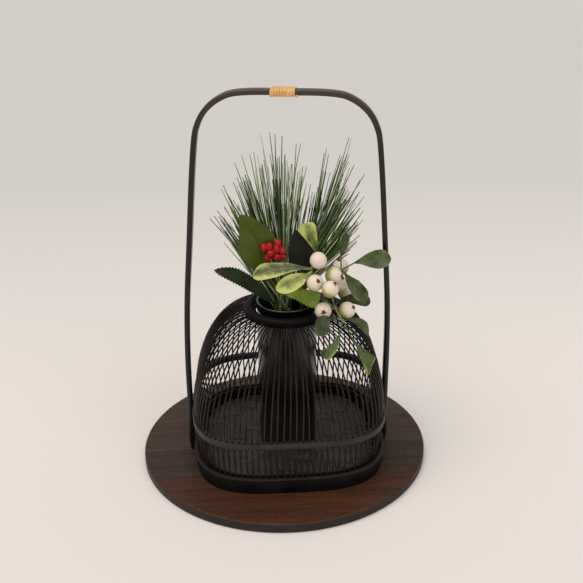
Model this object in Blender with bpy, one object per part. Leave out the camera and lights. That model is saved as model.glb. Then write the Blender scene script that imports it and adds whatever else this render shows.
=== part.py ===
"""Ikebana basket: fine round ribs on a round board, a bent handle, a water tube and its flowers.

Metres, +Z up, front towards -Y. The origin is the middle of the board's underside.
"""

import math

import bmesh
import bpy
import numpy as np
from mathutils import Matrix, Vector

# Clearance between pieces that touch
CLEARANCE = 0.0003

# Round board
BOARD_DIAMETER = 0.300
BOARD_THICKNESS = 0.010
BOARD_TOP_ROUND = 0.0018
BOARD_BOTTOM_BEVEL = 0.0010
BOARD_ROUND_STEPS = 2
BOARD_FACETS = 56

# Where the basket stands on the board, from its middle
BASKET_RIGHT = 0.00345
BASKET_FORWARD = 0.0026

# Base: a rounded square, its hoops measured by half their width
BASE_HALF_WIDTH = 0.0980
BASE_SQUARENESS = 3.3
BASE_HEIGHT = 0.0146
BASE_WALL = 0.0026
FLANGE_WIDTH = 0.0120
FLANGE_THICKNESS = 0.0027
LIP_THICKNESS = 0.0020
LIP_WIDTH = 0.0037
LIP_OVERHANG = 0.0014
LINING_INSET = 0.0060
LINING_THICKNESS = 0.0022
FLOOR_THICKNESS = 0.0035
HOOP_FACETS = 64
EDGE_TRACE_COUNT = 1441

# Ribs
RIB_COUNT = 108
RIBS_PER_SET = 9
RIB_DIAMETER = 0.0016
RIB_FOOT_INSET = 0.0045
RIB_FOOT_STRIP_HEIGHT = 0.0040
RIB_WAIST_INSET = 0.0011
RIB_WAIST_HALF_WIDTH = BASE_HALF_WIDTH - RIB_WAIST_INSET
RIB_SHOULDER_SHARE = 0.56
RIB_BROW_SHARE = 0.45
RIB_SWAY = 0.0016
RIB_BEND_SHARES = (0.25, 0.47, 0.66, 0.83, 1.0)
RIB_GIRTH_SHARES = (1, 1, 1, 0.95, 0.90, 0.84, 0.77, 0.70)

# Waist hoop
WAIST_TOP = 0.0574
WAIST_HEIGHT = 0.0065
WAIST_SQUARENESS = 3.55
WAIST_BAND_THICKNESS = 0.0014
WAIST_INNER_SLACK = 0.0004

# Water tube, and its rise above the neck ring
TUBE_RADIUS = 0.0303
TUBE_RIM_OVERHANG = 0.0005
TUBE_RIM_HEIGHT = 0.0030
TUBE_RIM_RISE = 0.0040
TUBE_WALL = 0.0015
TUBE_BOTTOM_THICKNESS = 0.0020
TUBE_FACETS = 28

# Neck ring, loose round the tube
NECK_SLACK = 0.0040
NECK_WALL = 0.0084
NECK_INNER_RADIUS = TUBE_RADIUS + TUBE_RIM_OVERHANG + NECK_SLACK
NECK_OUTER_RADIUS = NECK_INNER_RADIUS + NECK_WALL
NECK_BOTTOM = 0.1540
NECK_HEIGHT = 0.0087
NECK_RIB_SEAT_HEIGHT = 0.0030
NECK_FACETS = 32
NECK_SECTION_SHARES = (
    (0.00, 0.00),
    (0.00, 0.92),
    (0.07, 1.00),
    (0.56, 0.95),
    (0.88, 0.79),
    (1.00, 0.55),
)
TUBE_TOP = NECK_BOTTOM + NECK_HEIGHT + TUBE_RIM_RISE

# Handle: a flat strip bent to an arch, its outline as shares of reach and height
HANDLE_HEIGHT = 0.3812
HANDLE_THICKNESS = 0.0054
HANDLE_WIDTH = 0.0110
HANDLE_EDGE_ROUND = 0.0018
HANDLE_FOOT_TAPER = 0.0090
HANDLE_FOOT_SHARE = 0.55
HANDLE_TWIST = math.radians(7.5)
HANDLE_TWIST_START_SHARE = 0.18
HANDLE_TWIST_END_SHARE = 0.66
HANDLE_LEAN = 0.0025
HANDLE_OUTLINE_SHARES = (
    (1.000, 0.000),
    (1.000, 0.150),
    (0.999, 0.294),
    (0.982, 0.440),
    (0.940, 0.606),
    (0.895, 0.770),
    (0.857, 0.875),
    (0.823, 0.913),
    (0.767, 0.943),
    (0.683, 0.968),
    (0.573, 0.987),
    (0.467, 0.996),
    (0.284, 1.000),
    (0.000, 1.000),
)

# Binding round the middle of the handle: one unbroken cane
BINDING_TURNS = 10
BINDING_PITCH = 0.0025
BINDING_DIAMETER = 0.0019
BINDING_LEFT = 0.0045
BINDING_POINTS_PER_TURN = 24

# Pegs that hold the handle to the waist hoop and to the base ring
PEG_DIAMETER = 0.0024
PEG_DEPTH_IN_HANDLE = 0.0027
PEG_DEPTH_IN_BASE = 0.0016
PEG_FACETS = 10

# Flowers, placed by shares of their spread beside the tube and of their height above its rim
SPRAY_BEYOND_BASE = 0.0020
SPRAY_SPREAD = BASE_HALF_WIDTH + SPRAY_BEYOND_BASE
SPRAY_HEIGHT = 0.170
TWIG_DIAMETER = 0.0036
STEM_DIAMETER = 0.0024
STALK_DIAMETER = 0.0014
BUD_DIAMETER = 0.0040
STEM_SIDES = 5
BALL_SIDES = 6
BALL_RINGS = 4
LEAF_THICKNESS = 0.0010
PETIOLE_WIDTH = 0.0014
TOOTHED_LEAF_WIDTH = 0.040
SPOON_LEAF_WIDTH = 0.020
DOME_STAND_OFF = 0.010
BESIDE_STEP_SHARE = 0.01

# Pine sprays
PINE_BUD_DIAMETER = 0.0080
PINE_NEEDLE_LENGTH = 0.165
PINE_TIP_SHARE = 0.30
PINE_SIDES = 10
PINE_RINGS = 8
PINE_BACK_TILT = math.radians(12)
PINE_DEPTH_TILT = math.radians(9)
PINE_UNEVEN_SHARE = 0.16
PINE_UNEVEN_BEAT = 5

# The sprays: bud, foot, lean, spread, and how much their outer needles are shortened
PINE_SPRAY_SHARES = (
    ("left", (-0.03, 0.03, 0.055), (-0.08, 0.06), math.radians(-18), math.radians(29), 0.50),
    ("right", (0.19, 0.13, 0.115), (0.04, 0.10), math.radians(29), math.radians(25), 0.64),
)

# Berries
RED_BERRY_DIAMETER = 0.0076
RED_BERRY_SPACING = 0.0066
RED_KNOB_DIAMETER = 0.0110
CREAM_BERRY_DIAMETER = 0.0168

# Width along a leaf: a toothed pointed blade, and a spoon-shaped one
TOOTHED_WIDTH_SHARES = (0.06, 0.50, 0.74, 0.82, 1.00, 0.90, 0.88, 0.60, 0.44, 0.02)
SPOON_WIDTH_SHARES = (0.08, 0.30, 0.62, 0.90, 1.00, 0.82, 0.36)

# Buds on the leafy stem, then its leaves: bud, blade, tip, width, facing, curl, colour
LEAFY_FOOT_SHARES = (-0.02, -0.04)
LEAFY_BUD_SHARES = (("low", (-0.07, -0.05, -0.035)), ("high", (-0.05, -0.07, 0.060)))
TOOTHED_LEAF_SHARES = (
    ("leaf_upright", "high", (-0.29, -0.12, 0.215), (-0.44, -0.12, 0.555), 1.00,
     (0.10, -1, 0.25), 0.05, (0.070, 0.105, 0.018)),
    ("leaf_left", "low", (-0.16, -0.12, 0.020), (-0.71, -0.24, 0.255), 0.50,
     (0.25, -0.9, 0.6), 0.05, (0.016, 0.040, 0.016)),
    ("leaf_back", "high", (0.14, -0.10, 0.190), (0.14, -0.06, 0.425), 0.80,
     (0.10, -1, 0.10), 0.04, (0.014, 0.026, 0.012)),
    ("leaf_light", "high", (0.03, -0.15, 0.090), (0.31, -0.26, 0.035), 0.40,
     (-0.15, -1, 0.45), 0.04, (0.110, 0.210, 0.045)),
)

# The berry sprig's foot, and its crotch by the tube's inside radius and the spray height
SPRIG_FOOT_SHARES = (0.07, -0.03)
SPRIG_CROTCH_SHARES = (0.87, -0.42, 0.045)

# Buds on the sprig, its branches between them, and its leaves, as above
SPRIG_BUD_SHARES = (
    ("fork", (0.25, -0.12, 0.060)),
    ("upper", (0.24, -0.17, 0.231)),
    ("right", (0.54, -0.12, 0.204)),
    ("front", (0.46, -0.31, 0.015)),
    ("low", (0.53, -0.42, -0.045)),
)
SPRIG_BRANCHES = (("fork", "upper"), ("fork", "right"), ("fork", "front"), ("front", "low"))
SPOON_LEAF_SHARES = (
    ("upper", "upper", (0.30, -0.10, 0.322), (0.15, -0.05, 0.470), 1.10,
     (0.2, -1, 0.3), 0.08, (0.250, 0.290, 0.110)),
    ("long_left", "upper", (0.12, -0.23, 0.262), (-0.36, -0.36, 0.275), 0.85,
     (0.1, -1, 0.35), 0.10, (0.200, 0.240, 0.110)),
    ("short_left", "upper", (0.16, -0.27, 0.200), (-0.13, -0.40, 0.175), 0.90,
     (0.1, -1, 0.4), 0.10, (0.260, 0.330, 0.100)),
    ("right", "right", (0.63, -0.23, 0.263), (1.00, -0.34, 0.320), 0.90,
     (0.0, -1, 0.4), 0.08, (0.060, 0.095, 0.045)),
    ("right_upright", "right", (0.545, -0.04, 0.270), (0.59, -0.02, 0.418), 0.50,
     (0.3, -1, 0.2), 0.06, (0.060, 0.100, 0.045)),
    ("right_drooping", "right", (0.58, -0.20, 0.195), (0.78, -0.28, 0.044), 0.90,
     (-0.2, -1, 0.2), 0.08, (0.060, 0.090, 0.045)),
    ("right_low", "front", (0.62, -0.14, 0.026), (0.85, -0.14, -0.012), 0.80,
     (-0.1, -1, 0.5), 0.06, (0.060, 0.090, 0.045)),
)

# Leaves that hang beside the ribs: each place by its share of the way round from the right,
# its share of the way up from waist to neck, and its stand-off from the ribs
HANGING_LEAF_SHARES = (
    ("right_under", "low", (0.930, 0.741, 0.82), (0.953, 0.577, 0.97), 0.75,
     (0.2, -1, 0.5), 0.08, (0.050, 0.075, 0.040)),
    ("under_berry", "low", (0.846, 0.840, 0.60), (0.819, 0.720, 0.34), 0.75,
     (0.0, -1, 0.3), 0.06, (0.060, 0.080, 0.040)),
    ("hanging_left", "low", (0.869, 0.716, 0.42), (0.798, 0.571, 0.54), 0.75,
     (0.2, -1, 0.4), 0.06, (0.055, 0.115, 0.050)),
    ("hanging_right", "low", (0.881, 0.645, 0.61), (0.874, 0.365, 0.74), 0.85,
     (0.3, -1, 0.3), 0.06, (0.060, 0.130, 0.050)),
)

# Cream berries: the bud each hangs from, and its place
CREAM_BERRY_SHARES = (
    ("upper", (0.30, -0.26, 0.302)),
    ("right", (0.45, -0.26, 0.206)),
    ("upper", (0.26, -0.34, 0.183)),
    ("front", (0.40, -0.44, 0.166)),
    ("right", (0.53, -0.10, 0.105)),
    ("front", (0.34, -0.36, 0.012)),
    ("front", (0.58, -0.32, 0.000)),
    ("right", (0.55, 0.03, 0.188)),
    ("fork", (0.61, 0.09, 0.009)),
)

# Red berries, as steps sideways, deep and up from the middle of their cluster
RED_CLUSTER_SHARES = (-0.125, -0.18, 0.350)
RED_BERRY_STEP_SHARES = (
    (-1.45, 0.0, 0.55), (-0.70, -0.3, 0.80), (0.55, 0.0, 1.25), (0.36, -0.4, 0.40),
    (-0.56, -0.4, -0.24), (1.20, -0.1, 0.00), (-0.90, 0.0, -1.00), (0.40, -0.3, -0.86),
    (1.15, 0.0, -0.95),
)

SHARP_EDGE = math.radians(35)
UP = Vector((0, 0, 1))
FRONT = Vector((0, -1, 0))


def clear_scene():
    for item in list(bpy.data.objects):
        bpy.data.objects.remove(item, do_unlink=True)


def empty(name, location, parent=None):
    """A body's own frame: what moves with the body hangs from it."""
    item = bpy.data.objects.new(name, None)
    bpy.context.collection.objects.link(item)
    item.location = location
    item.parent = parent
    return item


def finish(item, colour, roughness, coat=0.0):
    """A Principled material of the piece's own, in linear colour."""
    material = bpy.data.materials.new(item.name + "_finish")
    material.use_nodes = True
    shader = material.node_tree.nodes["Principled BSDF"]
    shader.inputs["Base Color"].default_value = (*colour, 1.0)
    shader.inputs["Roughness"].default_value = roughness
    shader.inputs["Metallic"].default_value = 0.0
    shader.inputs["Coat Weight"].default_value = coat
    item.data.materials.append(material)


def lacquered(item):
    finish(item, (0.022, 0.018, 0.016), 0.42)


def placed(name, bm, parent):
    """Turns a finished bmesh into a named object under its body's empty."""
    bmesh.ops.recalc_face_normals(bm, faces=bm.faces)
    mesh = bpy.data.meshes.new(name)
    bm.to_mesh(mesh)
    bm.free()
    mesh.shade_smooth()
    mesh.set_sharp_from_angle(angle=SHARP_EDGE)
    item = bpy.data.objects.new(name, mesh)
    bpy.context.collection.objects.link(item)
    item.parent = parent
    return item


def skin(bm, loops, ring=False):
    """Faces over matching loops of points; a ring joins its last loop to its first."""
    rows = [[bm.verts.new(point) for point in loop] for loop in loops]
    pairs = list(zip(rows, rows[1:]))
    if ring:
        pairs.append((rows[-1], rows[0]))
    for low, high in pairs:
        for index, corner in enumerate(low):
            after = (index + 1) % len(low)
            bm.faces.new((corner, low[after], high[after], high[index]))
    if not ring:
        bm.faces.new(rows[0])
        bm.faces.new(rows[-1])
    return rows


def lofted(name, loops, parent, ring=False):
    bm = bmesh.new()
    skin(bm, loops, ring)
    return placed(name, bm, parent)


def circle(radius, height, count):
    turns = [2 * math.pi * step / count for step in range(count)]
    return [Vector((radius * math.cos(turn), radius * math.sin(turn), height)) for turn in turns]


def cut(item, cutters):
    """Bores or recesses taken out of a piece by hidden cutters."""
    for cutter in cutters:
        cutter.display_type = "WIRE"
        cutter.hide_render = True
        modifier = item.modifiers.new("cut", "BOOLEAN")
        modifier.operation = "DIFFERENCE"
        modifier.object = cutter


def edge_places(half_width, squareness, shares):
    """Places on a rounded square at shares of the way round it, from +X towards +Y."""
    turns = np.linspace(0, 2 * math.pi, EDGE_TRACE_COUNT)
    fullness = np.abs(np.cos(turns)) ** squareness + np.abs(np.sin(turns)) ** squareness
    reach = half_width * fullness ** (-1 / squareness)
    x = reach * np.cos(turns)
    y = reach * np.sin(turns)
    travelled = np.concatenate(([0], np.cumsum(np.hypot(np.diff(x), np.diff(y)))))
    around = np.asarray(shares) % 1 * travelled[-1]
    return np.interp(around, travelled, x), np.interp(around, travelled, y)


def hoop(name, squareness, section, parent):
    """A band round the basket: corners of (half-width, height) carried round a rounded square."""
    shares = np.arange(HOOP_FACETS) / HOOP_FACETS
    loops = []
    for half_width, height in section:
        x, y = edge_places(half_width, squareness, shares)
        loops.append([Vector((px, py, height)) for px, py in zip(x, y)])
    return lofted(name, loops, parent, ring=True)


def flat_band(name, squareness, outer, inner, low, high, parent):
    section = ((outer, low), (outer, high), (inner, high), (inner, low))
    return hoop(name, squareness, section, parent)


def make_board(parent):
    radius = BOARD_DIAMETER / 2
    loops = [
        circle(radius - BOARD_BOTTOM_BEVEL, 0, BOARD_FACETS),
        circle(radius, BOARD_BOTTOM_BEVEL, BOARD_FACETS),
    ]
    for step in range(BOARD_ROUND_STEPS + 1):
        lean = math.pi / 2 * step / BOARD_ROUND_STEPS
        out = radius - BOARD_TOP_ROUND + BOARD_TOP_ROUND * math.cos(lean)
        rise = BOARD_THICKNESS - BOARD_TOP_ROUND + BOARD_TOP_ROUND * math.sin(lean)
        loops.append(circle(out, rise, BOARD_FACETS))
    board = lofted("board", loops, parent)
    finish(board, (0.062, 0.030, 0.017), 0.45)


def floor_bottom():
    return FLANGE_THICKNESS + CLEARANCE


def floor_top():
    return floor_bottom() + FLOOR_THICKNESS


def lip_top():
    return BASE_HEIGHT + CLEARANCE + LIP_THICKNESS


def lip_half_width():
    return BASE_HALF_WIDTH + LIP_OVERHANG


def make_base(parent):
    """L-shaped base ring, the lip on its wall, the lining and the floor on its flange."""
    outer = BASE_HALF_WIDTH
    section = (
        (outer, 0),
        (outer, BASE_HEIGHT),
        (outer - BASE_WALL, BASE_HEIGHT),
        (outer - BASE_WALL, FLANGE_THICKNESS),
        (outer - FLANGE_WIDTH, FLANGE_THICKNESS),
        (outer - FLANGE_WIDTH, 0),
    )
    ring = hoop("base_ring", BASE_SQUARENESS, section, parent)
    cut(ring, [peg_bore(side, base_peg_height(), parent) for side in (-1, 1)])
    lacquered(ring)
    lip_outer = lip_half_width()
    lip = flat_band("base_lip", BASE_SQUARENESS, lip_outer, lip_outer - LIP_WIDTH,
                    BASE_HEIGHT + CLEARANCE, lip_top(), parent)
    finish(lip, (0.055, 0.043, 0.037), 0.40)
    lining_outer = outer - LINING_INSET
    lining_inner = lining_outer - LINING_THICKNESS
    lining = flat_band("base_lining", BASE_SQUARENESS, lining_outer, lining_inner,
                       floor_bottom(), lip_top(), parent)
    lacquered(lining)
    shares = np.arange(HOOP_FACETS) / HOOP_FACETS
    x, y = edge_places(lining_inner - CLEARANCE, BASE_SQUARENESS, shares)
    levels = (floor_bottom(), floor_top())
    loops = [[Vector((px, py, level)) for px, py in zip(x, y)] for level in levels]
    floor = lofted("floor_mat", loops, parent)
    lacquered(floor)


def dome_point(share, bend):
    """A place on a rib's centre line above the waist, its bend going from waist to neck."""
    waist_x, waist_y = edge_places(RIB_WAIST_HALF_WIDTH, WAIST_SQUARENESS, share)
    turn = 2 * math.pi * share
    tip_radius = NECK_OUTER_RADIUS + CLEARANCE
    tip = Vector((tip_radius * math.cos(turn), tip_radius * math.sin(turn),
                  NECK_BOTTOM + NECK_RIB_SEAT_HEIGHT / 2))
    waist = Vector((waist_x, waist_y, WAIST_TOP + CLEARANCE))
    start = (1 - bend) ** 3
    shoulder = 3 * bend * (1 - bend) ** 2
    brow = 3 * bend ** 2 * (1 - bend)
    end = bend ** 3
    place = tip + (waist - tip) * (start + shoulder + RIB_BROW_SHARE * brow)
    place.z = waist.z + (tip.z - waist.z) * (RIB_SHOULDER_SHARE * shoulder + brow + end)
    place.x += RIB_SWAY * 4 * bend * (1 - bend)
    return place


def rib_stations(share):
    """Centre points of one rib from foot to tip, and the sideways direction they share."""
    foot_x, foot_y = edge_places(BASE_HALF_WIDTH - RIB_FOOT_INSET, BASE_SQUARENESS, share)
    waist = dome_point(share, 0)
    points = [
        Vector((foot_x, foot_y, floor_bottom())),
        Vector((foot_x, foot_y, floor_bottom() + RIB_FOOT_STRIP_HEIGHT)),
        waist,
    ]
    points.extend(dome_point(share, bend) for bend in RIB_BEND_SHARES)
    outward = waist - points[-1]
    outward.z = 0
    return points, UP.cross(outward).normalized()


def rib_sections(share):
    """Sections of one rib, square to its run above the foot strip and finer to the neck."""
    points, side = rib_stations(share)
    sections = []
    for index, point in enumerate(points):
        half = RIB_DIAMETER / 2 * RIB_GIRTH_SHARES[index]
        before = points[max(index - 1, 0)]
        after = points[min(index + 1, len(points) - 1)]
        run = (after - before).normalized() if index > 1 else UP
        outward = side.cross(run).normalized()
        sections.append([
            point - side * half + outward * half,
            point + side * half + outward * half,
            point + side * half - outward * half,
            point - side * half - outward * half,
        ])
    return sections


def make_rib_set(number, parent):
    """Nine ribs that stand on one foot strip, which lies hidden in the base ring."""
    bm = bmesh.new()
    before = None
    for place in range(RIBS_PER_SET):
        share = (number * RIBS_PER_SET + place + 1 / 2) / RIB_COUNT
        rows = [[bm.verts.new(corner) for corner in section] for section in rib_sections(share)]
        bottom, top = rows[0], rows[1]
        bm.faces.new(bottom)
        bm.faces.new((bottom[0], bottom[1], top[1], top[0]))
        bm.faces.new((bottom[2], bottom[3], top[3], top[2]))
        if before is None:
            bm.faces.new((bottom[3], bottom[0], top[0], top[3]))
        else:
            low, high = before
            bm.faces.new((low[1], bottom[0], bottom[3], low[2]))
            bm.faces.new((high[1], top[0], top[3], high[2]))
            bm.faces.new((low[1], bottom[0], top[0], high[1]))
            bm.faces.new((low[2], bottom[3], top[3], high[2]))
        for lower, upper in zip(rows[1:], rows[2:]):
            for index in range(4):
                after = (index + 1) % 4
                bm.faces.new((lower[index], lower[after], upper[after], upper[index]))
        bm.faces.new(rows[-1])
        before = (bottom, top)
    low, high = before
    bm.faces.new((low[1], low[2], high[2], high[1]))
    ribs = placed(f"rib_set_{number + 1:02d}", bm, parent)
    lacquered(ribs)


def make_waist_hoop(parent):
    """Two bands that hold the ribs between them at the waist."""
    low = WAIST_TOP - WAIST_HEIGHT
    inner_face = RIB_WAIST_HALF_WIDTH + RIB_DIAMETER / 2 + CLEARANCE
    outer = flat_band("waist_hoop_outer", WAIST_SQUARENESS, inner_face + WAIST_BAND_THICKNESS,
                      inner_face, low, WAIST_TOP, parent)
    cut(outer, [peg_bore(side, waist_peg_height(), parent) for side in (-1, 1)])
    outer_face = RIB_WAIST_HALF_WIDTH - RIB_DIAMETER / 2 - CLEARANCE - WAIST_INNER_SLACK
    inner = flat_band("waist_hoop_inner", WAIST_SQUARENESS, outer_face,
                      outer_face - WAIST_BAND_THICKNESS, low, WAIST_TOP, parent)
    for band in (outer, inner):
        finish(band, (0.042, 0.034, 0.030), 0.40)


def make_neck_ring(parent):
    """A rounded collar; the rib tips end square to its lower outer side."""
    wall = NECK_OUTER_RADIUS - NECK_INNER_RADIUS
    section = []
    for out, rise in NECK_SECTION_SHARES:
        section.append((NECK_INNER_RADIUS + wall * out, NECK_BOTTOM + NECK_HEIGHT * rise))
    section.append((NECK_OUTER_RADIUS, NECK_BOTTOM))
    loops = [circle(radius, height, NECK_FACETS) for radius, height in section]
    ring = lofted("neck_ring", loops, parent, ring=True)
    finish(ring, (0.040, 0.037, 0.034), 0.50)


def make_water_tube(parent):
    """A glossy cup that stands on the floor and reaches up through the neck ring."""
    bottom = floor_top() + CLEARANCE
    inside = TUBE_RADIUS - TUBE_WALL
    rim_radius = TUBE_RADIUS + TUBE_RIM_OVERHANG
    levels = (
        (TUBE_RADIUS, bottom),
        (TUBE_RADIUS, TUBE_TOP - TUBE_RIM_HEIGHT),
        (rim_radius, TUBE_TOP - TUBE_RIM_HEIGHT / 2),
        (rim_radius, TUBE_TOP),
        (inside, TUBE_TOP),
        (inside, bottom + TUBE_BOTTOM_THICKNESS),
    )
    loops = [circle(radius, height, TUBE_FACETS) for radius, height in levels]
    tube = lofted("water_tube", loops, parent)
    finish(tube, (0.008, 0.008, 0.009), 0.16, coat=0.6)


def rib_pitch():
    """Step from rib to rib along the waist."""
    x, y = edge_places(RIB_WAIST_HALF_WIDTH, WAIST_SQUARENESS, [0, 1 / RIB_COUNT])
    return math.hypot(x[1] - x[0], y[1] - y[0])


def handle_reach():
    """The strip's outer face, from the middle, where its legs stand against the hoops."""
    return lip_half_width() + CLEARANCE + HANDLE_THICKNESS


def smooth_line(corners, steps):
    """Points of a smooth curve through the corners, with steps in each stretch."""
    points = []
    for index in range(len(corners) - 1):
        first = corners[max(index - 1, 0)]
        start = corners[index]
        end = corners[index + 1]
        last = corners[min(index + 2, len(corners) - 1)]
        for step in range(steps):
            share = step / steps
            points.append((start * 2 + (end - first) * share
                           + (first * 2 - start * 5 + end * 4 - last) * share ** 2
                           + (start * 3 - first - end * 3 + last) * share ** 3) / 2)
    points.append(corners[-1])
    return points


def handle_outer_line():
    """The arch's outer face in its own upright plane, left foot to right foot."""
    right = []
    for reach_share, height_share in HANDLE_OUTLINE_SHARES:
        right.append(Vector((handle_reach() * reach_share, 0, HANDLE_HEIGHT * height_share)))
    left = [Vector((-corner.x, 0, corner.z)) for corner in right[:-1]]
    return smooth_line(left + right[::-1], 2)


def swayed(point):
    """The arch twists a little about its own upright axis, and leans as it rises."""
    rise = point.z / HANDLE_HEIGHT
    span = HANDLE_TWIST_END_SHARE - HANDLE_TWIST_START_SHARE
    climb = min(max((rise - HANDLE_TWIST_START_SHARE) / span, 0), 1)
    turn = -HANDLE_TWIST * climb ** 2 * (3 - 2 * climb)
    moved = Matrix.Rotation(turn, 3, "Z") @ Vector(point)
    moved.x += HANDLE_LEAN * rise ** 2
    moved.y -= rib_pitch()
    return moved


def strip_section(inward, thickness, width):
    """Eight corners of the strip's section, with its edges taken off."""
    edge = min(HANDLE_EDGE_ROUND, thickness / 3)
    half = width / 2
    corners = (
        (0, half - edge), (edge, half), (thickness - edge, half), (thickness, half - edge),
        (thickness, edge - half), (thickness - edge, -half), (edge, -half), (0, edge - half),
    )
    return [inward * depth - FRONT * across for depth, across in corners]


def make_handle(parent):
    """One flat strip bent to an arch, with tapered feet beside the base ring."""
    line = handle_outer_line()
    loops = []
    for index, point in enumerate(line):
        before = line[max(index - 1, 0)]
        after = line[min(index + 1, len(line) - 1)]
        run = (after - before).normalized()
        inward = run.cross(FRONT).normalized()
        loops.append((point, inward, 1.0))
    foot_end = loops[0]
    loops[0] = (foot_end[0], foot_end[1], HANDLE_FOOT_SHARE)
    taper_point = foot_end[0] + UP * HANDLE_FOOT_TAPER
    loops.insert(1, (taper_point, foot_end[1], 1.0))
    foot_end = loops[-1]
    loops[-1] = (foot_end[0], foot_end[1], HANDLE_FOOT_SHARE)
    taper_point = foot_end[0] + UP * HANDLE_FOOT_TAPER
    loops.insert(len(loops) - 1, (taper_point, foot_end[1], 1.0))
    rows = []
    for point, inward, size in loops:
        spare = HANDLE_THICKNESS * (1 - size) / 2
        section = strip_section(inward, HANDLE_THICKNESS * size, HANDLE_WIDTH * size)
        rows.append([swayed(point + inward * spare + corner) for corner in section])
    handle = lofted("handle", rows, parent)
    cutters = []
    for side in (-1, 1):
        for height in (base_peg_height(), waist_peg_height()):
            cutters.append(peg_bore(side, height, parent))
    cut(handle, cutters)
    finish(handle, (0.024, 0.020, 0.019), 0.38)


def base_peg_height():
    return BASE_HEIGHT / 2


def waist_peg_height():
    return WAIST_TOP - WAIST_HEIGHT / 2


def rod(name, start, end, radius, sides, parent):
    """A plain round rod between two points."""
    bm = bmesh.new()
    run = end - start
    spin = run.to_track_quat("Z", "Y").to_matrix().to_4x4()
    place = Matrix.Translation((start + end) / 2) @ spin
    bmesh.ops.create_cone(bm, cap_ends=True, segments=sides, radius1=radius, radius2=radius,
                          depth=run.length, matrix=place)
    return placed(name, bm, parent)


def peg_span(side, height):
    """Ends of a peg: inside the handle, and inside the hoop or the base wall."""
    y = -rib_pitch()
    if height < BASE_HEIGHT:
        inner = BASE_HALF_WIDTH - PEG_DEPTH_IN_BASE
    else:
        inner = RIB_WAIST_HALF_WIDTH + RIB_DIAMETER / 2 + CLEARANCE
    outer = handle_reach() - HANDLE_THICKNESS + PEG_DEPTH_IN_HANDLE
    return Vector((side * inner, y, height)), Vector((side * outer, y, height))


def peg_bore(side, height, parent):
    """Cutter for a peg's hole, a clearance larger all round."""
    inner, outer = peg_span(side, height)
    along = (outer - inner).normalized()
    name = f"cutter_peg_{side}_{height:.4f}"
    return rod(name, inner - along * CLEARANCE, outer + along * CLEARANCE,
               PEG_DIAMETER / 2 + CLEARANCE, PEG_FACETS, parent)


def make_pegs(parent):
    for side, hand in ((-1, "left"), (1, "right")):
        for height, seat in ((base_peg_height(), "base"), (waist_peg_height(), "waist")):
            inner, outer = peg_span(side, height)
            peg = rod(f"peg_{seat}_{hand}", inner, outer, PEG_DIAMETER / 2, PEG_FACETS, parent)
            finish(peg, (0.20, 0.12, 0.055), 0.6)


def rounded_loop(half_height, half_width, radius, share):
    """A place on a rounded rectangle, at a share of the way round from its top middle."""
    straight_top = 2 * (half_width - radius)
    straight_side = 2 * (half_height - radius)
    corner = math.pi * radius / 2
    around = share * (2 * straight_top + 2 * straight_side + 4 * corner)
    around += straight_top / 2
    stretches = (straight_top, corner, straight_side, corner)
    across, up = -half_width + radius, half_height
    heading = 0.0
    index = 0
    while around > stretches[index % 4]:
        length = stretches[index % 4]
        if index % 2 == 0:
            across += length * math.cos(heading)
            up += length * math.sin(heading)
        else:
            centre = (across + radius * math.sin(heading), up - radius * math.cos(heading))
            heading -= math.pi / 2
            across = centre[0] - radius * math.sin(heading)
            up = centre[1] + radius * math.cos(heading)
        around -= length
        index += 1
    if index % 2 == 0:
        return across + around * math.cos(heading), up + around * math.sin(heading)
    centre = (across + radius * math.sin(heading), up - radius * math.cos(heading))
    heading -= around / radius
    return centre[0] - radius * math.sin(heading), centre[1] + radius * math.cos(heading)


def binding_points():
    """The cane's centre line: turns round the strip, and a straight end at either side."""
    line = handle_outer_line()
    across = [point.x for point in line]
    heights = [point.z for point in line]
    off = CLEARANCE + BINDING_DIAMETER / 2
    half_height = HANDLE_THICKNESS / 2 + off
    half_width = HANDLE_WIDTH / 2 + off
    radius = HANDLE_EDGE_ROUND + off
    start = -BINDING_LEFT - BINDING_TURNS * BINDING_PITCH / 2
    points = []
    for step in range(BINDING_TURNS * BINDING_POINTS_PER_TURN + 1):
        turns = step / BINDING_POINTS_PER_TURN
        x = start + BINDING_PITCH * turns
        away, up = rounded_loop(half_height, half_width, radius, (turns + 1 / 2) % 1)
        top = float(np.interp(x, across, heights))
        points.append(Vector((x, away, top - HANDLE_THICKNESS / 2 + up)))
    first_run = (points[0] - points[1]).normalized()
    last_run = (points[-1] - points[-2]).normalized()
    points.insert(0, points[0] + first_run * BINDING_DIAMETER)
    points.append(points[-1] + last_run * BINDING_DIAMETER)
    return [swayed(point) for point in points]


def least_gap(points, diameter, skipped):
    """The smallest gap between stretches of one tube that are at least half a turn apart."""
    places = np.array(points)
    between = np.linalg.norm(places[:, None] - places[None, :], axis=2)
    order = np.abs(np.subtract.outer(np.arange(len(places)), np.arange(len(places))))
    return between[order > skipped].min() - diameter


def make_binding(parent):
    points = binding_points()
    gap = least_gap(points, BINDING_DIAMETER, BINDING_POINTS_PER_TURN // 2)
    print(f"binding: {BINDING_TURNS} turns, least gap to itself {gap * 1000:.2f} mm")
    curve = bpy.data.curves.new("handle_binding", "CURVE")
    curve.dimensions = "3D"
    curve.bevel_depth = BINDING_DIAMETER / 2
    curve.bevel_resolution = 1
    curve.use_fill_caps = True
    spline = curve.splines.new("POLY")
    spline.points.add(len(points) - 1)
    for target, point in zip(spline.points, points):
        target.co = (*point, 1)
    cane = bpy.data.objects.new("handle_binding", curve)
    bpy.context.collection.objects.link(cane)
    cane.parent = parent
    finish(cane, (0.60, 0.36, 0.14), 0.45)


def spray_place(sideways_share, depth_share, height_share):
    """A place in the arrangement, from the middle of the tube's rim."""
    return Vector((SPRAY_SPREAD * sideways_share, SPRAY_SPREAD * depth_share,
                   TUBE_TOP + SPRAY_HEIGHT * height_share))


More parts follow.
